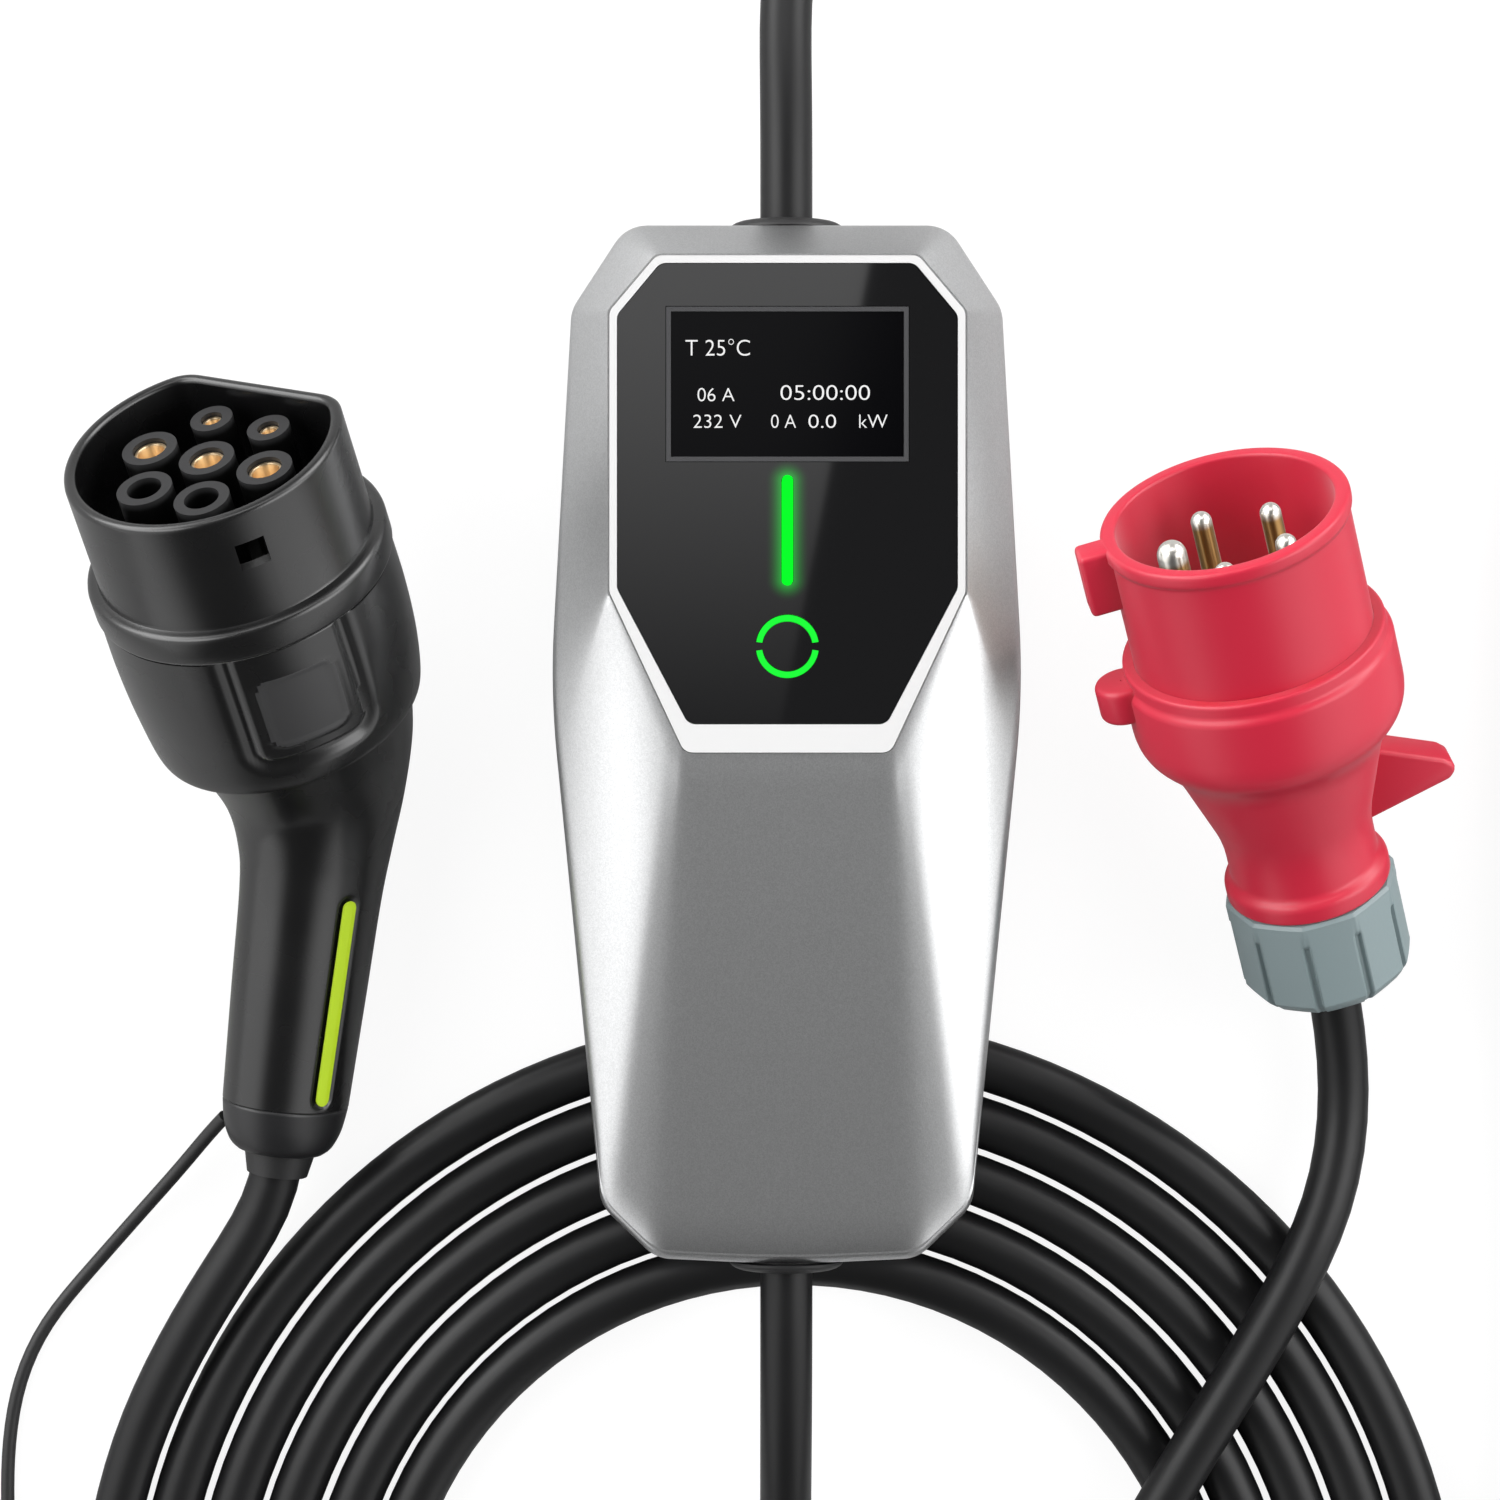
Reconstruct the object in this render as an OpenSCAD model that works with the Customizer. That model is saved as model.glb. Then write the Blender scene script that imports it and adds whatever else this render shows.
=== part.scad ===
// Portable charger for electric cars: control box, vehicle connector, supply plug and cables.
// The box lies on its back with its lower end on the cable coil, and Z points up.

/* [Case] */
// Width of the case at its widest
box_w = 112; // [108:1:118]
// Length of the case
box_l = 246; // [240:1:254]
// Height of the case from its back to the face of the panel rim
box_h = 62; // [58:0.5:66]
// Width of the top edge
top_w = 76; // [70:1:82]
// Width at the shoulders
shoulder_w = 102; // [98:1:106]
// How far the shoulders lie below the top edge
shoulder_drop = 20; // [17:1:24]
// Height of the widest point above the middle of the case
waist_y = 13; // [0:1:30]
// Width where the lower corners begin
foot_w = 88; // [85:1:94]
// How far the lower corners rise above the bottom edge
foot_rise = 14; // [12:1:18]
// Width of the bottom edge
base_w = 62; // [56:1:68]
// How far the bottom edge bulges
base_bulge = 1.5; // [0.5:0.1:2]
// Radius of the case corners seen from the front
corner_r = 9; // [5:0.5:10]
// Wall of both shells
wall = 2.8; // [2.2:0.1:3.4]
// Height of the seam, and of the cables' axis, above the back
seam_z = 30; // [29:0.5:31]
// Height where the side walls end and the front facets begin
facet_z = 45; // [44.5:0.5:48]
// Chamfer round the back
back_chamfer = 5; // [3:0.5:7]

/* [Panel] */
// Width of the glass
glass_w = 79; // [76:0.5:80]
// Length of the glass
glass_l = 107; // [104:0.5:110]
// Thickness of the glass
glass_t = 2.9; // [2:0.1:3]
// Gap between the top edge of the case and the glass
glass_gap = 11; // [10:0.5:12]
// Width of the top edge of the glass
glass_top_w = 59; // [54:1:64]
// Length of the upper cut corners
glass_top_cut = 12; // [9:0.5:15]
// Width of the bottom edge of the glass
glass_foot_w = 46; // [40:1:50]
// Length of the lower cut corners
glass_foot_cut = 31.5; // [28:0.5:34]
// Width of the pale rim at the top and sides
rim_w = 1.9; // [1.5:0.1:2.4]
// Extra width of the rim along the bottom
rim_tail = 4.8; // [3:0.1:6]
// How far the rim stands proud of the case
rim_proud = 1; // [0.6:0.1:1.4]
// Width of the display
display_w = 56.4; // [50:0.2:58]
// Height of the display
display_h = 36; // [30:0.5:38]
// Distance from the top of the glass to the middle of the display
display_drop = 28; // [26:0.5:30]
// Width of the frame line round the display
bezel_w = 1.1; // [0.8:0.1:1.6]
// Width of the light bar
bar_w = 2.6; // [2:0.1:3.4]
// Length of the light bar
bar_l = 25.4; // [20:0.2:27]
// Distance from the top of the glass to the middle of the light bar
bar_drop = 62; // [61:0.5:63]
// Outer radius of the light ring
ring_r = 7.3; // [6:0.1:8]
// Width of the light ring
ring_w = 1.4; // [1:0.1:2]
// Distance from the top of the glass to the middle of the light ring
ring_drop = 89; // [88:0.5:91]
// Angle of each gap in the light ring
ring_gap = 16; // [8:1:30]

/* [Inside] */
// Width of the main board
board_w = 64; // [58:1:65]
// Length of the main board
board_l = 176; // [172:1:186]
// Thickness of the circuit boards
board_t = 1.6; // [1.2:0.1:2]
// Height of the posts under the main board
board_post_h = 6; // [5:0.5:8]
// Distance of the case screws from the middle line
case_screw_x = 37.5; // [37.3:0.1:38]
// Radius of the case screw posts
post_r = 3.8; // [3.5:0.1:4]
// Radius of the case screws
screw_r = 1.5; // [1.2:0.1:1.6]
// Clearance between pieces that fit together
fit = 0.15; // [0.1:0.05:0.25]

/* [Cables] */
// Diameter of the charge cable and the supply lead
cable_d = 12.5; // [11.5:0.1:12.6]
// Radius of the gland domes
gland_r = 13.7; // [12.5:0.1:14.5]
// How far the gland domes stand out
gland_out = 2.2; // [1.5:0.1:3]
// Radius of the gland in the wall of the case
gland_neck_r = 10; // [9:0.1:11]
// Diameter of the dust cap strap
strap_d = 3.4; // [3:0.1:3.6]

/* [Vehicle connector] */
// Radius of the D-shaped shroud
shroud_r = 33; // [31.5:0.5:34]
// Distance of the flat side from the axis
shroud_flat = 25; // [23.5:0.5:27]
// Wall of the shroud
shroud_wall = 3; // [2.5:0.1:3.5]
// Length of the shroud in front of the flange
shroud_l = 29; // [26:0.5:32]
// Radius of the flange
flange_r = 36; // [35.5:0.1:37.5]
// Thickness of the flange
flange_t = 8; // [6:0.5:10]
// Distance from the elbow to the back of the flange
head_l = 71; // [68:0.5:74]
// Angle between the handle and the head
bend = 37; // [35:1:39]
// Length of the handle from the elbow to the seam of the end cap
handle_l = 74; // [71:0.5:76]
// Length of the end cap
cap_l = 12; // [10:0.5:13]
// Wall of the connector's shell
gun_wall = 3; // [2.5:0.1:3.5]
// Distance between the power contacts of the middle row
contact_pitch = 16.5; // [16:0.1:17]
// Radius of the power contacts' bore
power_bore_r = 3.05; // [2.9:0.05:3.2]
// Radius of the signal contacts' bore
signal_bore_r = 1.55; // [1.4:0.05:1.7]
// Wall of the contacts
contact_wall = 0.9; // [0.7:0.1:1.1]
// Wall of the contact towers
tower_wall = 2.6; // [2.2:0.1:2.8]
// Side of the square latch hole
latch_w = 7; // [5:0.5:9]

/* [Supply plug] */
// Radius of the plug's shroud
plug_r = 28.5; // [28:0.1:29.5]
// Wall of the plug's shroud
plug_wall = 2.8; // [2.4:0.1:3.2]
// Length of the shroud in front of the collar
plug_shroud_l = 34; // [32:0.5:36]
// Radius of the collar
collar_r = 32.5; // [32:0.1:34]
// Length of the collar
collar_l = 22; // [20:0.5:24]
// Length of the cone and neck between the nut and the collar
plug_neck_l = 48; // [46:0.5:52]
// Radius of the neck
neck_r = 18; // [17:0.1:18.5]
// Radius of the gland nut
nut_r = 21; // [20:0.1:22]
// Length of the gland nut
nut_l = 27; // [25:0.5:29]
// Radius of the pin circle
pin_circle = 14; // [13.5:0.1:14.5]
// Radius of the phase pins
pin_r = 2.5; // [2.3:0.05:2.6]
// Radius of the earth pin
earth_r = 3.5; // [3.2:0.05:3.6]
// Length of the pins in front of their carrier
pin_l = 31; // [29:0.5:33]

/* [Layout] */
// Elevation of the supply plug
plug_rise = 26; // [22:1:28]
// Heading of the supply plug
plug_turn = 16; // [12:1:20]
// Heading of the connector's handle
gun_turn = -8.6; // [-10:0.2:-6]
// Roll of the connector about its handle
gun_roll = 30; // [26:1:33]
// Fall of the connector's handle towards its end
gun_pitch = 2.5; // [2:0.1:3]

/* [Hidden] */
$fn = 64;
eps = 0.01;
cable_r = cable_d / 2;
waist_r = 200;
bulge_r = 300;
arc_steps = 6;

// Polygons with each corner rounded to its own radius, listed as [x, y, radius]
function unit(v) = v / norm(v);
function xy(p) = [p.x, p.y];
function fillet(a, b, c, r) =
    let (u = unit(a - b), v = unit(c - b), half = acos(u * v) / 2,
         centre = b + unit(u + v) * r / sin(half), from = b + u * r / tan(half) - centre,
         start = atan2(from.y, from.x), turn = cross(b - a, c - b) > 0 ? 1 : -1,
         sweep = turn * (180 - 2 * half))
    [for (i = [0:arc_steps])
        let (a = start + sweep * i / arc_steps)
        centre + r * [cos(a), sin(a)]];
function rounded(p) =
    let (n = len(p))
    [for (i = [0:n - 1]) each fillet(xy(p[(i + n - 1) % n]), xy(p[i]), xy(p[(i + 1) % n]), p[i][2])];
function flipped(right) = [for (i = [len(right) - 1:-1:0]) [-right[i].x, right[i].y, right[i][2]]];

case_right = [
    [top_w / 2, box_l / 2, corner_r],
    [shoulder_w / 2, box_l / 2 - shoulder_drop, corner_r],
    [box_w / 2, waist_y, waist_r],
    [foot_w / 2, foot_rise - box_l / 2, corner_r],
    [base_w / 2, base_bulge - box_l / 2, corner_r]
];
case_outline = rounded(concat(case_right, [[0, -box_l / 2, bulge_r]], flipped(case_right)));
glass_top = box_l / 2 - glass_gap;
glass_foot = glass_top - glass_l;
display_y = glass_top - display_drop;
bar_y = glass_top - bar_drop;
ring_y = glass_top - ring_drop;
glass_corner_r = 3;
function panel_right(grow, tail) = [
    [glass_top_w / 2 + grow / 2, glass_top + grow, glass_corner_r],
    [glass_w / 2 + grow, glass_top - glass_top_cut + grow / 2, glass_corner_r],
    [glass_w / 2 + grow, glass_foot + glass_foot_cut - grow / 2, glass_corner_r],
    [glass_foot_w / 2 + grow / 2, glass_foot - grow - tail, glass_corner_r]
];
function panel_outline(grow, tail) =
    let (right = panel_right(grow, tail))
    rounded(concat(right, flipped(right)));
module case2d(inset = 0) { offset(delta = -inset) polygon(case_outline); }
module panel2d(grow = 0, tail = 0) { polygon(panel_outline(grow, tail)); }

// Heights inside the case
land_w = 0.6;
shell_top = box_h - rim_proud;
pocket_z = box_h - 0.3 - glass_t;
roof_z = pocket_z - wall;
ledge_w = 5;
display_board_z = roof_z - board_t;
board_z = wall + board_post_h;
board_top = board_z + board_t;
case_screw_in = [31, 39];
case_screw_y = [box_l / 2 - case_screw_in[0], case_screw_in[1] - box_l / 2];
head_r = 2.8;
head_h = 2.5;
head_z = 1.2;
board_screw_in = [6, 8];
board_screw_at = [for (x = [-1, 1], y = [-1, 1])
    [x * (board_w / 2 - board_screw_in.x), y * (board_l / 2 - board_screw_in.y)]];
board_post_r = 3.2;
board_screw_r = 1.3;
board_head_r = 2.6;
board_head_h = 2;
board_tip_z = wall + 2;
relay_size = [16, 30, 24];
sensor_in_r = 6;
sensor_w = 8;
sensor_h = 11;
transformer_size = [26, 30, 20];
capacitor_r = 6.3;
capacitor_h = 22;
module_size = [18, 14, 3];
terminal_size = [40, 13, 15];
terminal_pitch = 14;
terminal_floor = 4;
terminal_r = 3;
relay_x = 13;
transformer_x = 13;
capacitor_x = -17;
capacitor_pitch = 16;
module_x = 18;

// What stands on the main board, in a row from its lower to its upper end with equal gaps
row = [
    terminal_size.y, relay_size.y, 2 * (sensor_in_r + sensor_w), module_size.y, transformer_size.y,
    terminal_size.y
];
row_edge = 6.5;
function total(v, n) = n == 0 ? 0 : v[n - 1] + total(v, n - 1);
row_gap = (board_l - 2 * row_edge - total(row, len(row))) / (len(row) - 1);
function row_at(i) = row_edge - board_l / 2 + total(row, i) + row[i] / 2 + i * row_gap;

// The joint and the glands
foot_h = 0.5;
screw_hole_z = seam_z + 10;
screw_tip_z = seam_z + 8;
socket_r = 1.3;
socket_h = 1.2;
gland_l = 15;
gland_nut_h = 4;
gasket_w = 1.2;
gasket_h = 1.2;
gland_room = base_bulge * gland_r / (base_w / 2) + fit;

// Cable coil: a flat spiral on the floor, and the tilt of the case that rests on it
coil_at = [0, -234];
coil_start_r = 107;
coil_pitch = 12.8;
coil_turns = 5;
coil_in_r = coil_start_r + coil_pitch / 4;
coil_out_r = coil_start_r + (coil_turns - 0.5) * coil_pitch;
rest_y = box_l / 2 - back_chamfer;
first_tilt = 2 * atan(cable_r / (rest_y - coil_at.y - coil_out_r));
box_shift = -(facet_z + back_chamfer) / 2 * sin(first_tilt);
box_tilt = 2 * atan((cable_r + fit / 2) / (rest_y * cos(first_tilt) + box_shift - coil_at.y - coil_out_r));
box_lift = rest_y * sin(box_tilt);
function on_box(p) = [
    p.x,
    p.y * cos(box_tilt) + p.z * sin(box_tilt) + box_shift,
    -p.y * sin(box_tilt) + p.z * cos(box_tilt) + box_lift
];
module box_place() { translate([0, box_shift, box_lift]) rotate([-box_tilt, 0, 0]) children(); }

// Vehicle connector: its elbow is its origin, the handle runs along -Y and the head rises at the bend
gun_at = [-113, -15, 19.8];
tower_l = 21;
carrier_t = 12;
carrier_floor = 3;
contact_drop = 6;
latch_drop = 15;
flange_z = head_l + flange_t;
rim_z = flange_z + shroud_l;
row_y = 14;
row_x = 8.2;
power_at = [[-contact_pitch, 0], [0, 0], [contact_pitch, 0]];
spare_at = [[-row_x, -row_y], [row_x, -row_y]];
signal_at = [[-row_x, row_y], [row_x, row_y]];
gun_angles = [gun_pitch, -gun_roll, gun_turn];
function spin_x(p, a) = [p.x, p.y * cos(a) - p.z * sin(a), p.y * sin(a) + p.z * cos(a)];
function spin_y(p, a) = [p.x * cos(a) + p.z * sin(a), p.y, -p.x * sin(a) + p.z * cos(a)];
function spin_z(p, a) = [p.x * cos(a) - p.y * sin(a), p.x * sin(a) + p.y * cos(a), p.z];
function on_gun(p) = gun_at + spin_z(spin_y(spin_x(p, gun_angles.x), gun_angles.y), gun_angles.z);
module gun_place() { translate(gun_at) rotate(gun_angles) children(); }
module head_place() { gun_place() rotate([bend - 90, 0, 0]) children(); }

// Supply plug: the middle of the nut's end is its origin and Z runs to the rim
plug_angles = [plug_rise - 90, 0, plug_turn];
nut_chamfer = 3;
plug_at = [133, -56, nut_r * cos(plug_rise) - nut_chamfer * sin(plug_rise)];
collar_z = nut_l + plug_neck_l;
collar_top = collar_z + collar_l;
plug_rim_z = collar_top + plug_shroud_l;
carrier_z = collar_top - 11;
carrier_h = 8;
thread_l = 15;
thread_r = neck_r - 3.5;
nut_floor = 5;
knob_r = 6.5;
knob_h = 9;
arm_t = 10;
wire_r = cable_r + 2.5;
wire_top_r = plug_r - 7;
carrier_top = carrier_z + carrier_h;
function on_plug(p) = plug_at + spin_z(spin_x(p, plug_angles.x), plug_angles.z);
module plug_place() { translate(plug_at) rotate(plug_angles) children(); }

// Cable routes on the floor, each a list of points chosen by hand
lead_in = 12;
lead_out = 14;
charge_box_route = concat(
    [on_box([0, lead_in - box_l / 2, seam_z]), on_box([0, -lead_out - box_l / 2, seam_z])],
    [[0, -160, 43], [0, -180, 33], [0, -201, 20], [0, -221, 11], [-1, -243, 7], [-12.5, -268, cable_r],
     [-35, -284, cable_r], [-63, -287, cable_r], [-88, -275, cable_r], [-104, -252, cable_r],
     [-107, -234, cable_r]]);
charge_gun_route = concat(
    [[-171, -236, cable_r], [-171, -208, cable_r], [-167, -182, 7], [-159, -158, 9], [-148, -136, 13]],
    [on_gun([0, -handle_l - cap_l - lead_out, 0]), on_gun([0, -handle_l - cap_l + 4, 0])]);
supply_route = concat(
    [on_box([0, box_l / 2 - lead_in, seam_z]), on_box([0, box_l / 2 + lead_out, seam_z])],
    [[0, 160, 27], [0, 184, 19], [7, 214, 10], [28, 234, 7], [56, 242, cable_r], [92, 242, cable_r],
     [130, 242, cable_r], [158, 234, cable_r], [178, 214, cable_r], [186, 186, cable_r], [186, 150, cable_r],
     [186, 112, cable_r], [186, 74, cable_r], [186, 36, cable_r], [186, -2, cable_r], [186, -40, cable_r],
     [186, -78, cable_r], [186, -116, cable_r], [186, -154, cable_r], [186, -192, cable_r],
     [186, -230, cable_r], [186, -256, 8], [178, -284, 13], [158, -304, 18.5], [130, -312, 19.5],
     [105, -310, 19.5], [83, -298, 19.2], [68, -279, 14], [63, -256, 11], [69, -232, 12.5], [83, -206, 17],
     [97, -180, 19.2], [111, -157, 19.4], [124, -134, 19.2], [131, -121, 18.2], [136, -108, 13],
     [138, -94, 10.5], [138, -79, 10.5]],
    [on_plug([0, 0, -8]), on_plug([0, 0, 6])]);
strap_route = concat(
    [on_gun([-13.2, -handle_l - cap_l / 2, 6]), on_gun([-22, -handle_l - cap_l / 2 - 3, 5])],
    [[-152, -110, 8], [-163, -121, 4], [-173, -133, 2], [-184, -146, strap_d / 2], [-191, -161, strap_d / 2],
     [-194, -180, strap_d / 2], [-194, -200, strap_d / 2], [-194, -220, strap_d / 2],
     [-194, -240, strap_d / 2], [-193, -260, strap_d / 2], [-191, -280, strap_d / 2], [-188, -300, 3],
     [-183, -318, 6], [-180.5, -328, 7]]);
dust_cap_at = [-168, -362];
dust_cap_h = 20;
dust_cap_wall = 3;
grommet_r = cable_r + 2.5;
grommet_out = 6;

// A tube swept along a route, and a skin lofted through rings
function along(route, i) =
    let (last = len(route) - 1)
    unit(route[min(i + 1, last)] - route[max(i - 1, 0)]);
function tube_ring(centre, dir, r, sides) =
    let (side = unit(cross([0, 0, 1], dir)), up = cross(dir, side))
    [for (k = [0:sides - 1]) centre + r * (cos(360 * k / sides) * side + sin(360 * k / sides) * up)];
function skin_faces(rings, sides) = concat(
    [[for (k = [sides - 1:-1:0]) k]],
    [for (i = [0:rings - 2], k = [0:sides - 1])
        [i * sides + k, i * sides + (k + 1) % sides, (i + 1) * sides + (k + 1) % sides, (i + 1) * sides + k]],
    [[for (k = [0:sides - 1]) (rings - 1) * sides + k]]);
module skin(rings) {
    faces = skin_faces(len(rings), len(rings[0]));
    polyhedron([for (ring = rings) each ring], [for (f = faces) [for (k = [len(f) - 1:-1:0]) f[k]]]);
}
module tube(route, d, sides) {
    skin([for (i = [0:len(route) - 1]) tube_ring(route[i], along(route, i), d / 2, sides)]);
}

// Stations of the connector's skin from the flange to the end cap: [y, z, turn, half width, half depth]
skin_sides = 36;
function on_head(d) = [d * cos(bend), d * sin(bend)];
function head_station(d, rx, rz) = [on_head(d).x, on_head(d).y, bend, rx, rz];
gun_stations = [
    head_station(head_l, 35.4, 35.4),
    head_station(head_l - 14, 35.6, 35.4),
    head_station(head_l - 28, 34.6, 34.8),
    head_station(head_l - 40, 32, 33.6),
    [25, 17.5, 0.88 * bend, 28.6, 31],
    [14, 8.5, 0.7 * bend, 24.6, 27.4],
    [2, 2.6, 0.45 * bend, 20.6, 23.4],
    [-10, 0.4, 0.2 * bend, 17.8, 20.6],
    [-22, 0, 0, 16.4, 19.2],
    [-46, 0, 0, 15.6, 18.2],
    [-handle_l, 0, 0, 14.6, 17]
];
inner_stations = concat(
    [head_station(head_l + 3, 35.4, 35.4)],
    [for (i = [1:len(gun_stations) - 2]) gun_stations[i]],
    [[-handle_l - 3, 0, 0, 14.5, 16.9]]);
cap_stations = [
    [-handle_l, 0, 0, 14.6, 17],
    [-handle_l - 0.5 * cap_l, 0, 0, 13.8, 15.6],
    [-handle_l - 0.85 * cap_l, 0, 0, 12.2, 13.4],
    [-handle_l - cap_l, 0, 0, 10.4, 11.2]
];
function gun_ring(s, grow) =
    [for (k = [0:skin_sides - 1])
        let (a = 360 * (k + 0.5) / skin_sides, x = (s[3] + grow) * cos(a), up = (s[4] + grow) * sin(a))
        [x, s[0] - up * sin(s[2]), s[1] + up * cos(s[2])]];
module gun_skin(stations, grow = 0) { skin([for (s = stations) gun_ring(s, grow)]); }

// Case
module front_form(inset, low, top) {
    hull() {
        translate([0, 0, low]) linear_extrude(facet_z - low) case2d(inset);
        translate([0, 0, top - foot_h]) linear_extrude(foot_h) offset(delta = land_w - inset)
            panel2d(rim_w, rim_tail);
    }
}
module rear_form(inset, low, top) {
    chamfer_z = back_chamfer + low / 2;
    hull() {
        translate([0, 0, low]) linear_extrude(foot_h) case2d(back_chamfer + inset / 2);
        translate([0, 0, chamfer_z]) linear_extrude(top - chamfer_z) case2d(inset);
    }
}
module case_screw_each() {
    for (x = [-case_screw_x, case_screw_x], y = case_screw_y) translate([x, y, 0]) children();
}
module gland_holes() {
    translate([0, 0, seam_z]) rotate([90, 0, 0])
        cylinder(r = gland_neck_r + fit, h = box_l + 2, center = true);
}
module gasket2d(extra) {
    difference() {
        case2d(wall / 2 - gasket_w / 2 - extra);
        case2d(wall / 2 + gasket_w / 2 + extra);
    }
}
module gasket_groove() {
    translate([0, 0, seam_z - gasket_h / 2]) linear_extrude(gasket_h) gasket2d(fit / 2);
}
module front_shell() color([0.72, 0.73, 0.74]) box_place() difference() {
    front_form(0, seam_z, shell_top);
    difference() {
        front_form(wall, seam_z - eps, roof_z);
        case_screw_each() cylinder(r = post_r, h = box_h);
    }
    translate([0, 0, pocket_z]) linear_extrude(box_h) panel2d(rim_w + fit, rim_tail);
    translate([0, 0, seam_z]) linear_extrude(box_h) offset(delta = -ledge_w) panel2d();
    gland_holes();
    gasket_groove();
    case_screw_each() cylinder(r = screw_r - 0.1, h = screw_hole_z);
}
module rear_shell() color([0.68, 0.69, 0.7]) box_place() difference() {
    rear_form(0, 0, seam_z);
    difference() {
        rear_form(wall, wall, seam_z + 1);
        case_screw_each() cylinder(r = post_r, h = seam_z);
        for (at = board_screw_at) translate(at) cylinder(r = board_post_r, h = board_z);
    }
    gland_holes();
    gasket_groove();
    case_screw_each() {
        translate([0, 0, -1]) cylinder(r = screw_r + fit, h = seam_z + 2);
        translate([0, 0, -1]) cylinder(r = head_r + fit, h = head_z + head_h + 1);
    }
    for (at = board_screw_at) translate([at.x, at.y, wall + 1]) cylinder(r = board_screw_r, h = board_z);
}
module case_gasket() color([0.08, 0.08, 0.08]) box_place() difference() {
    translate([0, 0, seam_z - gasket_h / 2]) linear_extrude(gasket_h) gasket2d(0);
    gland_holes();
}
module case_screws() color([0.75, 0.75, 0.77]) box_place() case_screw_each() translate([0, 0, head_z]) {
    difference() {
        cylinder(r = head_r, h = head_h);
        translate([0, 0, -1]) cylinder(r = socket_r, h = socket_h + 1, $fn = 6);
    }
    cylinder(r = screw_r - 0.1, h = screw_tip_z - head_z);
}
module gland() {
    inner_z = -wall - gland_room;
    fall = gland_r - gland_neck_r + 1;
    rotate_extrude() polygon(concat(
        [[cable_r + fit, -gland_l], [gland_neck_r - 1, -gland_l], [gland_neck_r - 1, inner_z - gland_nut_h],
         [gland_r, inner_z - gland_nut_h], [gland_r, inner_z], [gland_neck_r, inner_z], [gland_neck_r, fit]],
        [for (a = [0:15:75]) [gland_r - fall * (1 - cos(a)), fit + gland_out * sin(a)]],
        [[cable_r + fit, fit + gland_out]]));
}
module top_gland() color([0.06, 0.06, 0.06]) box_place()
    translate([0, box_l / 2, seam_z]) rotate([-90, 0, 0]) gland();
module bottom_gland() color([0.06, 0.06, 0.06]) box_place()
    translate([0, -box_l / 2, seam_z]) rotate([90, 0, 0]) gland();

// Panel
module stadium2d(w, l) {
    square([w, l - w], center = true);
    for (y = [-1, 1]) translate([0, y * (l - w) / 2]) circle(d = w);
}
module panel_rim() color([0.93, 0.93, 0.93]) box_place() translate([0, 0, pocket_z]) difference() {
    linear_extrude(box_h - pocket_z) panel2d(rim_w, rim_tail);
    translate([0, 0, -1]) linear_extrude(box_h) panel2d(fit);
}
module light_holes(extra) {
    translate([0, bar_y, 0]) linear_extrude(box_h) stadium2d(bar_w + 2 * extra, bar_l + 2 * extra);
    translate([0, ring_y, 0]) for (turn = [0, 180]) rotate([0, 0, turn + ring_gap / 2])
        rotate_extrude(angle = 180 - ring_gap) translate([ring_r - ring_w - extra, 0])
            square([ring_w + 2 * extra, box_h]);
}
module glass_panel() color([0.04, 0.04, 0.045]) box_place() difference() {
    translate([0, 0, pocket_z]) linear_extrude(glass_t) panel2d();
    translate([0, display_y, 0]) linear_extrude(box_h)
        square([display_w + 2 * fit, display_h + 2 * fit], center = true);
    light_holes(fit);
}
module display_bezel() color([0.2, 0.2, 0.21]) box_place()
    translate([0, display_y, display_board_z + board_t]) linear_extrude(box_h - 0.4 - roof_z) difference() {
        square([display_w, display_h], center = true);
        square([display_w - 2 * bezel_w, display_h - 2 * bezel_w], center = true);
    }
module display() color([0.01, 0.01, 0.015]) box_place()
    translate([0, display_y, display_board_z + board_t]) linear_extrude(box_h - 0.7 - roof_z)
        square([display_w - 2 * bezel_w - fit, display_h - 2 * bezel_w - fit], center = true);
module light_bar() color([0, 0.95, 0.25]) box_place()
    translate([0, bar_y, roof_z]) linear_extrude(box_h - 0.2 - roof_z) stadium2d(bar_w, bar_l);
module light_ring() color([0, 0.9, 0.25]) box_place() translate([0, ring_y, roof_z])
    for (turn = [0, 180]) rotate([0, 0, turn + ring_gap / 2])
        rotate_extrude(angle = 180 - ring_gap) translate([ring_r - ring_w, 0])
            square([ring_w, box_h - 0.2 - roof_z]);
module display_board() color([0.05, 0.3, 0.12]) box_place() difference() {
    translate([0, 0, display_board_z]) linear_extrude(board_t) panel2d(-ledge_w / 2);
    case_screw_each() cylinder(r = post_r + fit, h = box_h);
}

// Main board and what stands on it
module main_board() color([0.05, 0.35, 0.15]) box_place() difference() {
    translate([-board_w / 2, -board_l / 2, board_z]) cube([board_w, board_l, board_t]);
    for (at = board_screw_at) translate(at) cylinder(r = board_screw_r + fit, h = box_h);
}
module board_screws() color([0.8, 0.8, 0.82]) box_place() for (at = board_screw_at) translate(at) {
    translate([0, 0, board_top]) cylinder(r = board_head_r, h = board_head_h);
    translate([0, 0, board_tip_z]) cylinder(r = board_screw_r - 0.05, h = board_top - board_tip_z + eps);
}
module on_board(x, y) { box_place() translate([x, y, board_top]) children(); }
module block(size) { translate([-size.x / 2, -size.y / 2, 0]) cube(size); }
module relays() color([0.1, 0.1, 0.12])
    for (x = [-relay_x, relay_x]) on_board(x, row_at(1)) block(relay_size);
module current_sensor() color([0.35, 0.2, 0.1]) on_board(0, row_at(2))
    rotate_extrude() translate([sensor_in_r, 0]) square([sensor_w, sensor_h]);
module supply_transformer() color([0.75, 0.65, 0.2])
    on_board(transformer_x, row_at(4)) block(transformer_size);
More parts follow.
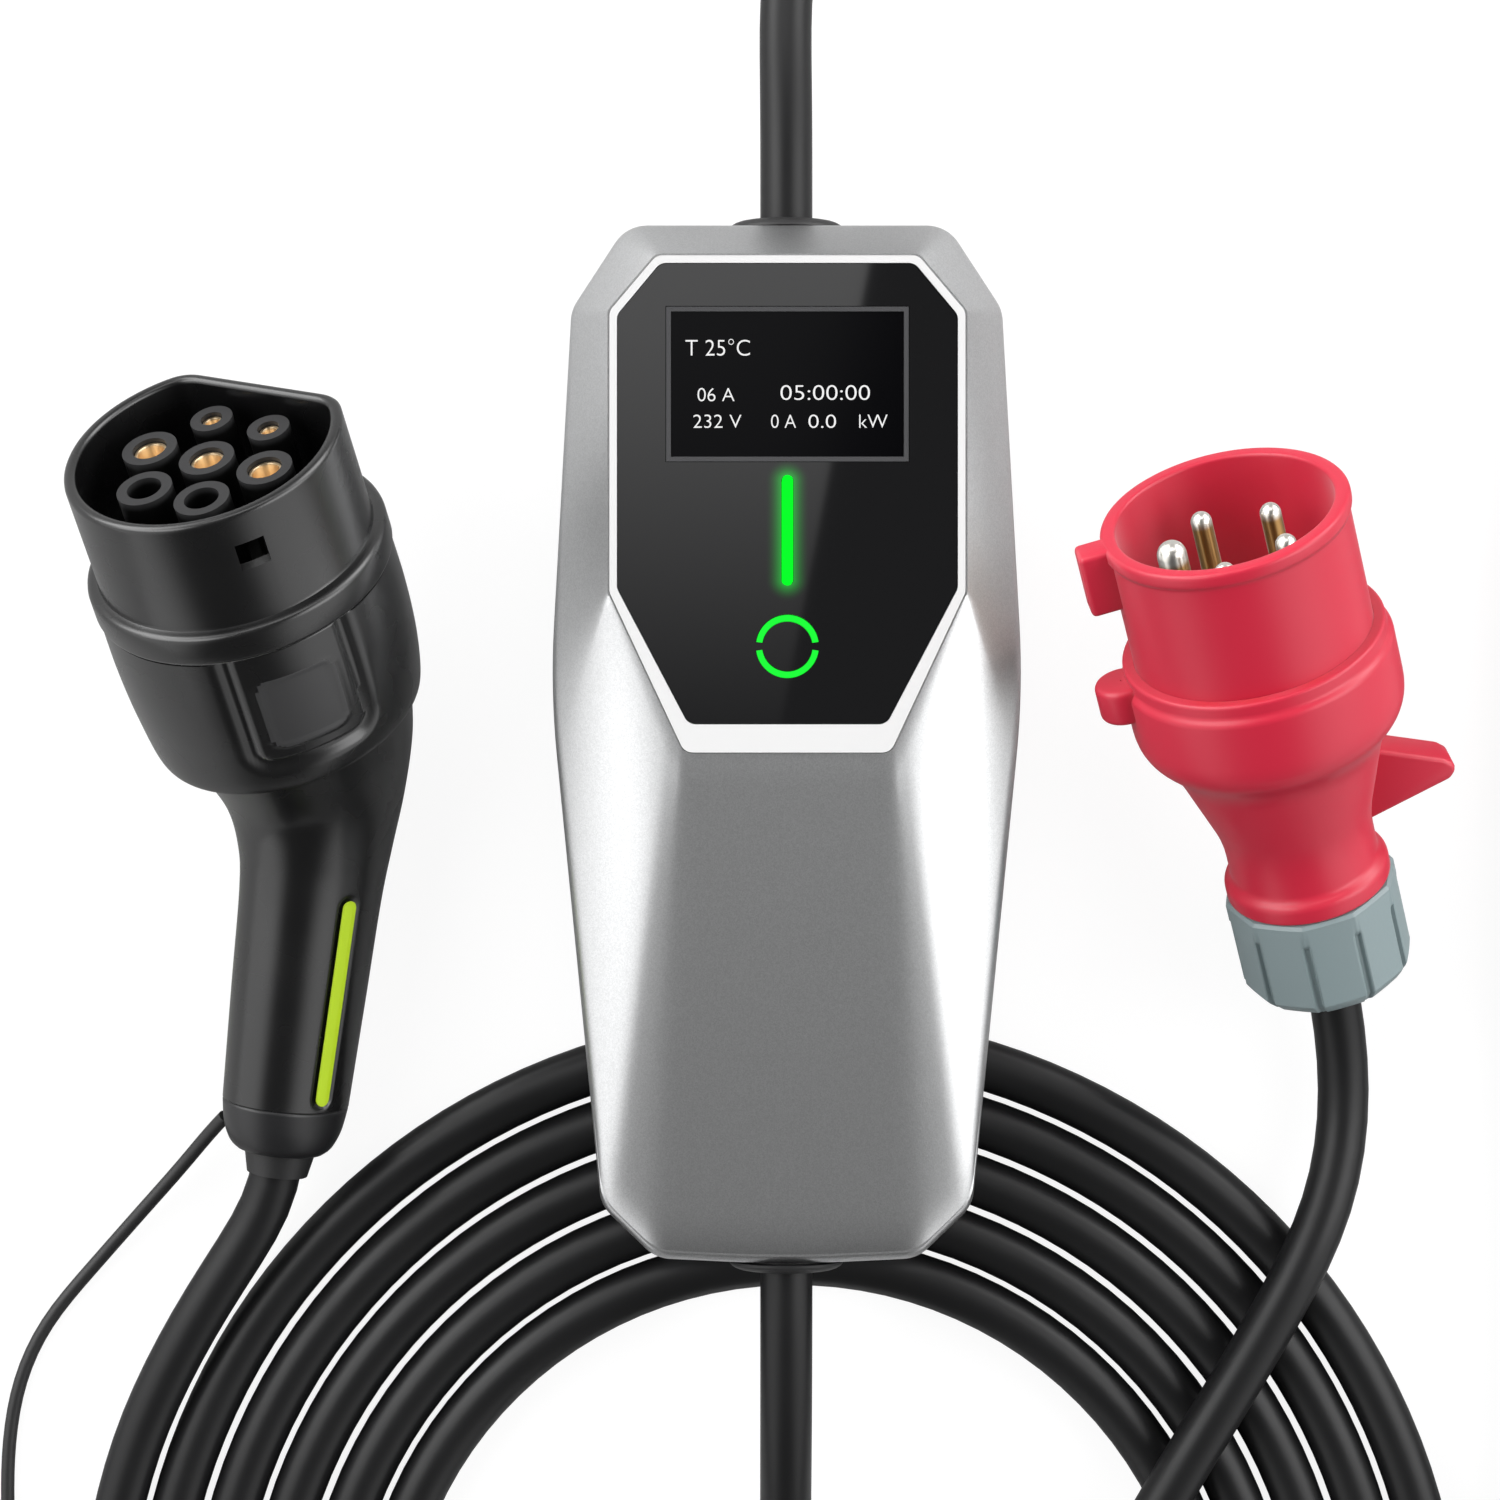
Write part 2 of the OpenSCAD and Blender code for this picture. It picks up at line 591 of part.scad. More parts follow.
module capacitors() color([0.15, 0.15, 0.3]) for (side = [-0.5, 0.5])
    on_board(capacitor_x, row_at(4) + side * capacitor_pitch) cylinder(r = capacitor_r, h = capacitor_h);
module control_module() color([0.12, 0.12, 0.12]) on_board(module_x, row_at(3)) block(module_size);
module terminals() {
    difference() {
        block(terminal_size);
        for (i = [-1:1]) translate([i * terminal_pitch, 0, terminal_floor])
            cylinder(r = terminal_r, h = terminal_size.z);
    }
}
module input_terminals() color([0.2, 0.45, 0.2]) on_board(0, row_at(5)) terminals();
module output_terminals() color([0.2, 0.45, 0.2]) on_board(0, row_at(0)) terminals();

// Vehicle connector
module d2d(r, flat) {
    intersection() {
        circle(r = r);
        translate([-r, -r]) square([2 * r, r + flat]);
    }
}
module connector_shroud() color([0.15, 0.15, 0.16]) head_place() difference() {
    union() {
        translate([0, 0, head_l]) cylinder(r = flange_r, h = flange_t);
        translate([0, 0, head_l]) linear_extrude(rim_z - head_l) d2d(shroud_r, shroud_flat);
    }
    translate([0, 0, head_l - 1]) linear_extrude(box_l)
        d2d(shroud_r - shroud_wall, shroud_flat - shroud_wall);
    for (turn = [-40, 220]) rotate([0, 0, turn]) translate([0, -latch_w / 2, rim_z - latch_drop])
        cube([2 * shroud_r, latch_w, latch_w]);
}
module contact_carrier() color([0.2, 0.2, 0.21]) head_place() difference() {
    union() {
        translate([0, 0, head_l]) linear_extrude(carrier_t)
            d2d(shroud_r - shroud_wall - fit, shroud_flat - shroud_wall - fit);
        for (at = concat(power_at, spare_at)) translate([at.x, at.y, head_l])
            cylinder(r = power_bore_r + contact_wall + tower_wall, h = carrier_t + tower_l);
        for (at = signal_at) translate([at.x, at.y, head_l])
            cylinder(r = signal_bore_r + contact_wall + tower_wall, h = carrier_t + tower_l);
    }
    for (at = concat(power_at, spare_at)) translate([at.x, at.y, head_l + carrier_floor])
        cylinder(r = power_bore_r + contact_wall + fit, h = box_l);
    for (at = signal_at) translate([at.x, at.y, head_l + carrier_floor])
        cylinder(r = signal_bore_r + contact_wall + fit, h = box_l);
}
module contact(bore_r) {
    difference() {
        cylinder(r = bore_r + contact_wall, h = carrier_t + tower_l - contact_drop);
        translate([0, 0, carrier_floor]) cylinder(r = bore_r, h = box_l);
    }
}
module power_contacts() color([0.85, 0.65, 0.3]) head_place()
    for (at = power_at) translate([at.x, at.y, head_l + carrier_floor]) contact(power_bore_r);
module signal_contacts() color([0.85, 0.65, 0.3]) head_place()
    for (at = signal_at) translate([at.x, at.y, head_l + carrier_floor]) contact(signal_bore_r);
recess_turn = 40;
recess_w = 34;
recess_l = 38;
recess_z = head_l - 24;
recess_corner = 4;
plate_gap = 2.6;
floor_r = [30.6, 33.7];
module recess_prism(w, l) {
    head_place() rotate([0, 0, -recess_turn]) translate([20, 0, recess_z]) rotate([0, 90, 0])
        linear_extrude(40) offset(r = recess_corner)
            square([l - 2 * recess_corner, w - 2 * recess_corner], center = true);
}
module recess_floor() {
    head_place() translate([0, 0, recess_z - recess_l / 2 - 1])
        cylinder(r1 = floor_r[0], r2 = floor_r[1], h = recess_l + 2);
}
stripe_l = 51;
stripe_w = 3.8;
stripe_y = -46.5;
stripe_lift = 20;
stripe_proud = 0.5;
module stripe_prism() {
    gun_place() for (turn = [-stripe_lift, 180 + stripe_lift]) rotate([0, turn, 0])
        translate([8, stripe_y, 0]) rotate([0, 90, 0]) linear_extrude(20) stadium2d(stripe_w, stripe_l);
}
module connector_shell() color([0.1, 0.1, 0.105]) difference() {
    gun_place() gun_skin(gun_stations);
    gun_place() gun_skin(inner_stations, -gun_wall);
    difference() {
        recess_prism(recess_w, recess_l);
        recess_floor();
    }
}
module recess_plate() color([0.18, 0.18, 0.185]) difference() {
    intersection() {
        recess_prism(recess_w - 2 * plate_gap, recess_l - 2 * plate_gap);
        gun_place() gun_skin(gun_stations, -0.3);
    }
    recess_floor();
}
module grip_stripes() color([0.72, 0.9, 0.1]) difference() {
    intersection() {
        stripe_prism();
        gun_place() gun_skin(gun_stations, stripe_proud);
    }
    gun_place() gun_skin(gun_stations);
}
module connector_end_cap() color([0.12, 0.12, 0.125]) gun_place() difference() {
    gun_skin(cap_stations);
    translate([0, -handle_l + 1, 0]) rotate([90, 0, 0]) cylinder(r = grommet_r + 0.1, h = cap_l + 2);
}
module connector_grommet() color([0.04, 0.04, 0.04]) gun_place()
    translate([0, -handle_l, 0]) rotate([90, 0, 0]) difference() {
        union() {
            cylinder(r = grommet_r, h = cap_l);
            translate([0, 0, cap_l]) cylinder(r1 = grommet_r, r2 = cable_r + 1.2, h = grommet_out);
        }
        translate([0, 0, -1]) cylinder(r = cable_r + fit, h = cap_l + 20);
    }
module dust_cap() color([0.05, 0.05, 0.05]) translate(dust_cap_at) difference() {
    cylinder(r = shroud_r + dust_cap_wall, h = dust_cap_h);
    translate([0, 0, dust_cap_wall]) cylinder(r = shroud_r + fit, h = dust_cap_h);
}
module cap_strap() color([0.05, 0.05, 0.05]) tube(strap_route, strap_d, 8);

// Supply plug
module lug_at(x, w, d, z, h) { translate([x - (x < 0 ? w : 0), -d / 2, z]) cube([w, d, h]); }
module plug_shroud() color([0.86, 0.16, 0.22]) plug_place() difference() {
    union() {
        translate([0, 0, carrier_z]) cylinder(r = plug_r, h = plug_rim_z - carrier_z);
        translate([0, 0, plug_rim_z - 3]) cylinder(r = plug_r + 0.8, h = 3);
        lug_at(2 - plug_r, 9, 8, plug_rim_z - 16, 16);
    }
    translate([0, 0, carrier_z - 1]) cylinder(r = plug_r - plug_wall, h = box_l);
}
module plug_body() color([0.84, 0.13, 0.2]) plug_place() difference() {
    union() {
        rotate_extrude() polygon([
            [0, nut_l - thread_l], [thread_r, nut_l - thread_l], [thread_r, nut_l + fit],
            [neck_r + 2, nut_l + fit], [neck_r + 2, nut_l + 4], [neck_r, nut_l + 6], [neck_r, nut_l + 17],
            [plug_r - 3, collar_z - 8], [collar_r - 1, collar_z], [collar_r, collar_z + 2],
            [collar_r, collar_top - 4], [collar_r - 1, collar_top - 3], [collar_r - 1, collar_top],
            [0, collar_top]]);
        translate([-collar_r, 0, carrier_z]) cylinder(r = knob_r, h = knob_h);
        translate([0, arm_t / 2, 0]) rotate([90, 0, 0]) linear_extrude(arm_t) polygon([
            [neck_r - 4, nut_l + 14], [collar_r + 6, nut_l + 20], [collar_r + 7, nut_l + 24],
            [neck_r, nut_l + 34]]);
    }
    translate([0, 0, carrier_z]) cylinder(r = plug_r + fit, h = box_l);
    translate([0, 0, collar_z]) cylinder(r = plug_r - plug_wall, h = box_l);
    rotate_extrude() polygon([
        [0, 0], [wire_r, 0], [wire_r, nut_l + 20], [wire_top_r, collar_z], [wire_top_r, collar_z + 1],
        [0, collar_z + 1]]);
}
pin_tail = 8;
pin_step = 0.5;
pin_neck = 1;
pin_at = [for (i = [0:4]) 180 + 72 * i];
module pin_carrier() color([0.82, 0.8, 0.8]) plug_place() difference() {
    translate([0, 0, carrier_z]) cylinder(r = plug_r - plug_wall - fit, h = carrier_h);
    for (i = [0:4]) rotate([0, 0, pin_at[i]]) translate([pin_circle, 0, carrier_z - 1])
        cylinder(r = (i == 0 ? earth_r : pin_r) - pin_step + fit / 3, h = carrier_h + 2);
}
module pin(r, l) {
    translate([0, 0, carrier_z - pin_tail]) cylinder(r = r - pin_step, h = pin_tail + carrier_h + pin_neck);
    translate([0, 0, carrier_top + pin_neck]) cylinder(r = r, h = l - r - pin_neck);
    translate([0, 0, carrier_top + l - r]) sphere(r = r);
}
module phase_pins() color([0.8, 0.62, 0.3]) plug_place()
    for (i = [1:4]) rotate([0, 0, pin_at[i]]) translate([pin_circle, 0, 0]) pin(pin_r, pin_l);
module earth_pin() color([0.8, 0.62, 0.3]) plug_place()
    rotate([0, 0, pin_at[0]]) translate([pin_circle, 0, 0]) pin(earth_r, pin_l + 2);
module gland_nut() color([0.5, 0.55, 0.56]) plug_place() difference() {
    rotate_extrude() polygon([
        [cable_r + 1, 0], [nut_r - nut_chamfer, 0], [nut_r, nut_chamfer], [nut_r, nut_l],
        [thread_r + 0.2, nut_l], [thread_r + 0.2, nut_floor], [cable_r + 1, nut_floor]]);
    for (turn = [0:36:324]) rotate([0, 0, turn]) translate([nut_r - 1.1, -0.8, -1]) cube([4, 1.6, nut_l - 5]);
}
module plug_seal() color([0.05, 0.05, 0.05]) plug_place() translate([0, 0, nut_floor]) difference() {
    cylinder(r = thread_r, h = nut_l - thread_l - nut_floor);
    translate([0, 0, -1]) cylinder(r = cable_r + fit, h = nut_l);
}

// Cords
module cable_coil() color([0.07, 0.07, 0.07]) translate([coil_at.x, coil_at.y, cable_r])
    rotate_extrude($fn = 128) {
        translate([coil_in_r, -cable_r]) square([coil_out_r - coil_in_r, cable_d]);
        for (r = [coil_in_r, coil_out_r]) translate([r, 0]) circle(r = cable_r, $fn = 32);
    }
module charge_cable_box_end() color([0.07, 0.07, 0.07]) tube(charge_box_route, cable_d, 12);
module charge_cable_connector_end() color([0.07, 0.07, 0.07]) tube(charge_gun_route, cable_d, 12);
module supply_lead() color([0.07, 0.07, 0.07]) tube(supply_route, cable_d, 12);

front_shell();
rear_shell();
case_gasket();
panel_rim();
glass_panel();
display_bezel();
display();
light_bar();
light_ring();
display_board();
main_board();
relays();
current_sensor();
supply_transformer();
capacitors();
control_module();
input_terminals();
output_terminals();
board_screws();
case_screws();
top_gland();
bottom_gland();
connector_shroud();
contact_carrier();
power_contacts();
signal_contacts();
connector_shell();
recess_plate();
grip_stripes();
connector_end_cap();
connector_grommet();
dust_cap();
cap_strap();
plug_shroud();
plug_body();
pin_carrier();
phase_pins();
earth_pin();
plug_seal();
gland_nut();
cable_coil();
charge_cable_box_end();
charge_cable_connector_end();
supply_lead();
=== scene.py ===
import math

import bmesh
import bpy
from mathutils import Euler, Matrix, Vector


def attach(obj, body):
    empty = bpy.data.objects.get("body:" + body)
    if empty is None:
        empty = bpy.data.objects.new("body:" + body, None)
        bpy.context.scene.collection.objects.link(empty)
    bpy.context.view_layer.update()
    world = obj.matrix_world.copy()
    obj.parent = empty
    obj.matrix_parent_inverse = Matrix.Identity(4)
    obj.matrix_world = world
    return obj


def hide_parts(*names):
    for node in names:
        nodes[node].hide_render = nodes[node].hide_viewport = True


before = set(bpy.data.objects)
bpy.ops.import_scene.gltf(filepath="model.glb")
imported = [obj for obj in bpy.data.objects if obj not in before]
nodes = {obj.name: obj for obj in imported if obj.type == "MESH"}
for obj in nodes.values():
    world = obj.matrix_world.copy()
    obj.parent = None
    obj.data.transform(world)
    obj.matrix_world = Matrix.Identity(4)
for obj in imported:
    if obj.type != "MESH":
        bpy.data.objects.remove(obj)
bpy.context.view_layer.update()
scene = bpy.context.scene
mm = 0.001

# Places of the box, the connector and the plug, in millimetres as in the part's source
case = {
    "length": 246, "height": 62, "chamfer": 5, "seam": 30, "facet": 45, "corner": 9,
    "waist": 200, "bulge": 300, "fit": 0.15,
    "right": [(38, 123), (51, 103), (56, 13), (44, -109), (31, -121.5)], "foot": -123,
}
panel = {
    "top": 112, "foot": 5, "half": 39.5, "topHalf": 29.5, "footHalf": 23, "topCut": 12, "footCut": 31.5,
    "rim": 1.9, "tail": 4.8, "corner": 3, "land": 0.5, "pocket": 0.15,
    # stretches of its straight edges that face a corner of the case
    "facing": [(2, 0.8, 0.9), (3, 0.45, 0.55), (4, 0.1, 0.2)],
}
cable = {"d": 12.5, "coil": Vector((0, -234)), "start": 101.5, "pitch": 13.9, "turns": 5, "lean": 164.6,
         "turnSteps": 20, "step": 7}
strap = {"d": 3.4, "step": 4}
stand = {
    "gun": (-113, -15, 19.8), "gunTurns": (2.5, -30, -8.6), "gunBend": 37,
    "plug": (133, -56), "plugRise": 26, "plugTurn": 16, "plugRest": (21, 3),
}


def boxPlace():
    radius = cable["d"] / 2
    rest = case["length"] / 2 - case["chamfer"]
    # the box leans on the solid coil of the part's source, at its outer turn's middle radius
    outer = cable["lean"]
    first = 2 * math.atan(radius / (rest - cable["coil"].y - outer))
    shift = -(case["facet"] + case["chamfer"]) / 2 * math.sin(first)
    reach = rest * math.cos(first) + shift - cable["coil"].y - outer
    tilt = 2 * math.atan((radius + case["fit"] / 2) / reach)
    place = Matrix.Translation((0, shift, rest * math.sin(tilt))) @ Matrix.Rotation(-tilt, 4, "X")
    return place, tilt


def placed(at, turns):
    return Matrix.Translation(at) @ Euler([math.radians(a) for a in turns], "XYZ").to_matrix().to_4x4()


def plugPlace():
    rise = math.radians(stand["plugRise"])
    radius, foot = stand["plugRest"]
    return placed((*stand["plug"], radius * math.cos(rise) - foot * math.sin(rise)),
                  (stand["plugRise"] - 90, 0, stand["plugTurn"]))


onBox, boxTilt = boxPlace()
onGun = placed(stand["gun"], stand["gunTurns"])
onHead = onGun @ Matrix.Rotation(math.radians(stand["gunBend"] - 90), 4, "X")
onPlug = plugPlace()


def toWorld(place, point):
    return (place @ Vector(point)) * mm


print("camera, light and floor")
view = {"distance": 1100, "across": 352.5, "aim": (-8.7, -1.1, 50), "sensor": 36}
cameraData = bpy.data.cameras.new("camera")
cameraData.sensor_width = view["sensor"]
cameraData.lens = view["sensor"] * view["distance"] / view["across"]
camera = bpy.data.objects.new("camera", cameraData)
scene.collection.objects.link(camera)
aim = Vector(view["aim"])
camera.location = toWorld(onBox, aim + Vector((0, 0, view["distance"])))
camera.rotation_euler = (-boxTilt, 0, 0)
scene.camera = camera
scene.view_settings.view_transform = "Standard"
scene.view_settings.look = "None"


def tree(name):
    material = bpy.data.materials.new(name)
    material.use_nodes = True
    nodeTree = material.node_tree
    nodeTree.nodes.clear()
    out = nodeTree.nodes.new("ShaderNodeOutputMaterial")
    return material, nodeTree, out


def add(nodeTree, kind, **values):
    node = nodeTree.nodes.new(kind)
    for key, value in values.items():
        setattr(node, key, value)
    return node


def join(nodeTree, source, target):
    nodeTree.links.new(source, target)


def maths(nodeTree, operation, first, second=None, clamp=False):
    node = add(nodeTree, "ShaderNodeMath", operation=operation, use_clamp=clamp)
    for socket, value in zip(node.inputs, (first, second)):
        if value is None:
            continue
        if isinstance(value, (int, float)):
            socket.default_value = value
        else:
            join(nodeTree, value, socket)
    return node.outputs[0]


def shellMaterial(name, colour, rough=0.5, metal=0.0, **more):
    material, nodeTree, out = tree(name)
    shader = add(nodeTree, "ShaderNodeBsdfPrincipled")
    shader.inputs["Base Color"].default_value = (*colour, 1)
    shader.inputs["Roughness"].default_value = rough
    shader.inputs["Metallic"].default_value = metal
    for key, value in more.items():
        shader.inputs[key].default_value = value
    join(nodeTree, shader.outputs[0], out.inputs[0])
    return material, nodeTree, shader


ground = {"half": 4, "shade": 0.55, "glow": 1.25, "cameraShare": 0.72}


def floorMaterial():
    material, nodeTree, out = tree("studio floor")
    diffuse = add(nodeTree, "ShaderNodeBsdfDiffuse")
    diffuse.inputs["Color"].default_value = (*[ground["shade"]] * 3, 1)
    glow = add(nodeTree, "ShaderNodeEmission")
    glow.inputs["Color"].default_value = (1, 1, 1, 1)
    glow.inputs["Strength"].default_value = ground["glow"]
    path = add(nodeTree, "ShaderNodeLightPath")
    mix = add(nodeTree, "ShaderNodeMixShader")
    share = maths(nodeTree, "MULTIPLY", path.outputs["Is Camera Ray"], ground["cameraShare"])
    join(nodeTree, share, mix.inputs["Fac"])
    join(nodeTree, diffuse.outputs[0], mix.inputs[1])
    join(nodeTree, glow.outputs[0], mix.inputs[2])
    join(nodeTree, mix.outputs[0], out.inputs[0])
    return material


floorMesh = bpy.data.meshes.new("floor")
far = ground["half"]
floorMesh.from_pydata([(-far, -far, 0), (far, -far, 0), (far, far, 0), (-far, far, 0)], [], [(0, 1, 2, 3)])
floor = bpy.data.objects.new("floor", floorMesh)
scene.collection.objects.link(floor)
floor.data.materials.append(floorMaterial())

world = bpy.data.worlds.new("studio")
scene.world = world
world.use_nodes = True
studio = {
    "zenith": 0.1, "sides": 1.25, "sideSpan": (0.3, 0.72), "front": 0.3, "frontSpan": (0.35, 0.9),
    "corners": 4.5, "cornerSpan": (0.25, 0.48), "horizon": 0.02,
    "card": 1.7, "cardFoot": 13, "cardSlant": 19 / 99, "cardBlur": 0.6, "cardSides": (110, 60),
    "cardRise": (-20, 125), "cardEnd": (170, 125),
}


def sky(nodeTree):
    place = add(nodeTree, "ShaderNodeTexCoord")
    parts = add(nodeTree, "ShaderNodeSeparateXYZ")
    join(nodeTree, place.outputs["Generated"], parts.inputs[0])
    x, y, z = parts.outputs

    def span(value, low, high, top):
        node = add(nodeTree, "ShaderNodeMapRange", interpolation_type="SMOOTHSTEP")
        for key, number in (("From Min", low), ("From Max", high), ("To Min", 0), ("To Max", top)):
            node.inputs[key].default_value = number
        join(nodeTree, value, node.inputs["Value"])
        return node.outputs["Result"]

    def do(operation, first, second=None):
        return maths(nodeTree, operation, first, second)

    sides = span(do("ABSOLUTE", x), *studio["sideSpan"], studio["sides"])
    front = span(y, *studio["frontSpan"], studio["front"])
    corners = span(do("MULTIPLY", do("ABSOLUTE", x), y), *studio["cornerSpan"], studio["corners"])
    # a card over the camera, whose slanted edge shows in the glass
    far = view["distance"] - (case["height"] - view["aim"][2])
    across = do("MULTIPLY", do("DIVIDE", x, z), far)
    along = do("MULTIPLY", do("SUBTRACT", do("DIVIDE", y, z), math.tan(boxTilt)), far)
    across = do("ADD", across, view["aim"][0])
    along = do("ADD", along, view["aim"][1])
    slant = do("MULTIPLY", do("SUBTRACT", along, studio["cardFoot"]), studio["cardSlant"])
    left = span(do("SUBTRACT", slant, across), -studio["cardBlur"], studio["cardBlur"], 1)
    near = span(do("ABSOLUTE", across), *studio["cardSides"], 1)
    rising = span(along, *studio["cardRise"], studio["card"])
    ending = span(along, *studio["cardEnd"], 1)
    card = do("MULTIPLY", do("MULTIPLY", left, near), do("MULTIPLY", rising, ending))
    total = do("ADD", do("ADD", sides, do("ADD", front, corners)), studio["zenith"])
    above = span(z, -studio["horizon"], studio["horizon"], 1)
    return do("ADD", total, do("MULTIPLY", card, above))


background = world.node_tree.nodes["Background"]
background.inputs["Color"].default_value = (1, 1, 1, 1)
seen = add(world.node_tree, "ShaderNodeLightPath")
join(world.node_tree, maths(world.node_tree, "MAXIMUM", sky(world.node_tree), seen.outputs["Is Camera Ray"]),
     background.inputs["Strength"])


def lamp(name, at, target, size, power):
    data = bpy.data.lights.new(name, "AREA")
    data.shape = "RECTANGLE"
    data.size, data.size_y = size
    data.energy = power
    lampObject = bpy.data.objects.new(name, data)
    scene.collection.objects.link(lampObject)
    lampObject.location = at
    lampObject.rotation_euler = (Vector(target) - Vector(at)).to_track_quat("-Z", "Y").to_euler()


lamp("left softbox", (-1.1, 0.35, 1.0), (0, 0, 0), (0.7, 1.2), 9)
lamp("right softbox", (1.15, 0.1, 0.95), (0, 0, 0), (0.7, 1.2), 8)
lamp("top softbox", (-0.1, 1.25, 1.3), (0, 0, 0), (1.2, 0.6), 5)

print("cords")


def lerp(a, b, t):
    return a + (b - a) * t


def spiral():
    points = []
    steps = cable["turnSteps"]
    for i in range(1, cable["turns"] * steps):
        turn = i / steps
        radius = cable["start"] + cable["pitch"] * turn
        angle = math.pi - 2 * math.pi * turn
        points.append((cable["coil"].x + radius * math.cos(angle), cable["coil"].y + radius * math.sin(angle),
                       cable["d"] / 2))
    return points


low = cable["d"] / 2
tape = strap["d"] / 2
boxEnd = [
    onBox @ Vector((0, -111, 30)), onBox @ Vector((0, -137, 30)), (0, -160, 43), (0, -180, 33),
    (0, -201, 20), (0, -221, 11), (-1, -243, 7), (-12, -267, low), (-33, -282, low), (-60, -284, low),
    (-84, -272, low), (-98.5, -251, low), (-101.5, -234, low),
]
gunEnd = [
    (-171, -236, low), (-168.2, -203, 6.6), (-161.5, -176, 8), (-153, -157, 10.5), (-143, -139, 13),
    (-134, -125, 14.5), onGun @ Vector((0, -100, 0)), onGun @ Vector((0, -82, 0)),
    onGun @ Vector((0, -40, 0)),
]
supplyRoute = [
    onBox @ Vector((0, 111, 30)), onBox @ Vector((0, 137, 30)), (0, 160, 27), (0, 184, 19), (7, 214, 10),
    (28, 234, 7), (56, 242, low), (92, 242, low), (130, 242, low), (158, 234, low), (178, 214, low),
    *[(186, 186 - 38 * i, low) for i in range(12)], (186, -256, 8), (178, -284, 13), (158, -304, 18.5),
    (130, -312, 19.5), (105, -310, 19.5), (83, -298, 19.2), (68, -279, 14), (63, -256, 11),
    (69, -232, 12.5), (83, -206, 17), (97, -180, 19.2), (111, -157, 19.4), (124, -134, 19.2),
    (131, -121, 18.2), (136, -108, 13), (138, -94, 10.5), (138, -79, 10.5), onPlug @ Vector((0, 0, -8)),
    onPlug @ Vector((0, 0, 6)),
]
strapRoute = [
    onGun @ Vector((-13.2, -80, 6)), onGun @ Vector((-18, -84.5, 4.5)), (-147, -103.5, 8.5),
    (-159, -117, 5), (-173, -133, 2), (-184, -146, tape), (-191, -161, tape), (-194, -180, tape),
    (-194, -200, tape), (-194, -220, tape), (-194, -240, tape), (-193, -260, tape), (-191, -280, tape),
    (-188, -300, 3), (-183, -318, 6), (-180.5, -328, 7),
]


def curved(a, b, c, d, t):
    return 0.5 * (2 * b + (c - a) * t + (2 * a - 5 * b + 4 * c - d) * t * t
                  + (3 * b - a - 3 * c + d) * t * t * t)


def smoothed(points, step, passes=6):
    fine = []
    pts = [Vector(p) for p in points]
    for i in range(len(pts) - 1):
        a, b = pts[max(i - 1, 0)], pts[i]
        c, d = pts[i + 1], pts[min(i + 2, len(pts) - 1)]
        count = max(1, round((c - b).length / step))
        fine += [curved(a, b, c, d, k / count) for k in range(count)]
    fine.append(pts[-1])
    for _ in range(passes):
        fine[1:-1] = [(a + 2 * b + c) / 4 for a, b, c in zip(fine, fine[1:], fine[2:])]
    return fine


def cordCurve(name, points, diameter, step):
    line = smoothed(points, step)
    data = bpy.data.curves.new(name, "CURVE")
    data.dimensions = "3D"
    # each point carries the tube's radius, so the curve's bounds are the tube's own
    data.bevel_depth = 1
    data.bevel_resolution = 6
    data.use_fill_caps = True
    spline = data.splines.new("POLY")
    spline.points.add(len(line) - 1)
    for point, place in zip(spline.points, line):
        point.co = (*(place * mm), 1)
        point.radius = diameter / 2 * mm
    spline.use_smooth = True
    curve = bpy.data.objects.new(name, data)
    scene.collection.objects.link(curve)
    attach(curve, "root")
    length = sum((b - a).length for a, b in zip(line, line[1:])) * mm
    print("cord", name, "is", round(length, 4), "m long")
    return curve, length, [p * mm for p in line]


chargeCable, chargeLength, chargeLine = cordCurve("charge_cord", boxEnd + spiral() + gunEnd,
                                                 cable["d"], cable["step"])
supplyLead, supplyLength, supplyLine = cordCurve("supply_cord", supplyRoute, cable["d"], cable["step"])
capStrap, strapLength, strapLine = cordCurve("strap_cord", strapRoute, strap["d"], strap["step"])
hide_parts("cable_coil", "charge_cable_box_end", "charge_cable_connector_end")
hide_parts("supply_lead")
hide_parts("cap_strap")

print("shapes")


def keep(mesh, name, material, sharp=35):
    mesh.materials.append(material)
    for face in mesh.polygons:
        face.use_smooth = True
    mesh.set_sharp_from_angle(angle=math.radians(sharp))
    piece = bpy.data.objects.new(name, mesh)
    scene.collection.objects.link(piece)
    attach(piece, "root")
    return piece


def ringMesh(name, rings, place, ends="open"):
    count = len(rings[0])
    faces = []
    for i in range(len(rings) if ends == "joined" else len(rings) - 1):
        below, above = i * count, (i + 1) % len(rings) * count
        for k in range(count):
            n = (k + 1) % count
            faces.append((below + k, below + n, above + n, above + k))
    if ends == "capped":
        faces.append(tuple(reversed(range(count))))
        faces.append(tuple((len(rings) - 1) * count + k for k in range(count)))
    mesh = bpy.data.meshes.new(name)
    mesh.from_pydata([toWorld(place, p) for ring in rings for p in ring], [], faces)
    shape = bmesh.new()
    shape.from_mesh(mesh)
    bmesh.ops.recalc_face_normals(shape, faces=shape.faces)
    shape.to_mesh(mesh)
    shape.free()
    return mesh


def cut(piece, shape):
    cutter = bpy.data.objects.new("cutter", shape)
    scene.collection.objects.link(cutter)
    hole = piece.modifiers.new("hole", "BOOLEAN")
    hole.object, hole.solver = cutter, "EXACT"
    bpy.context.view_layer.update()
    result = bpy.data.meshes.new_from_object(piece.evaluated_get(bpy.context.evaluated_depsgraph_get()))
    piece.modifiers.clear()
    piece.data = result
    bpy.data.objects.remove(cutter)


def ease(low, high, value):
    t = min(1, max(0, (value - low) / (high - low)))
    return t * t * (3 - 2 * t)


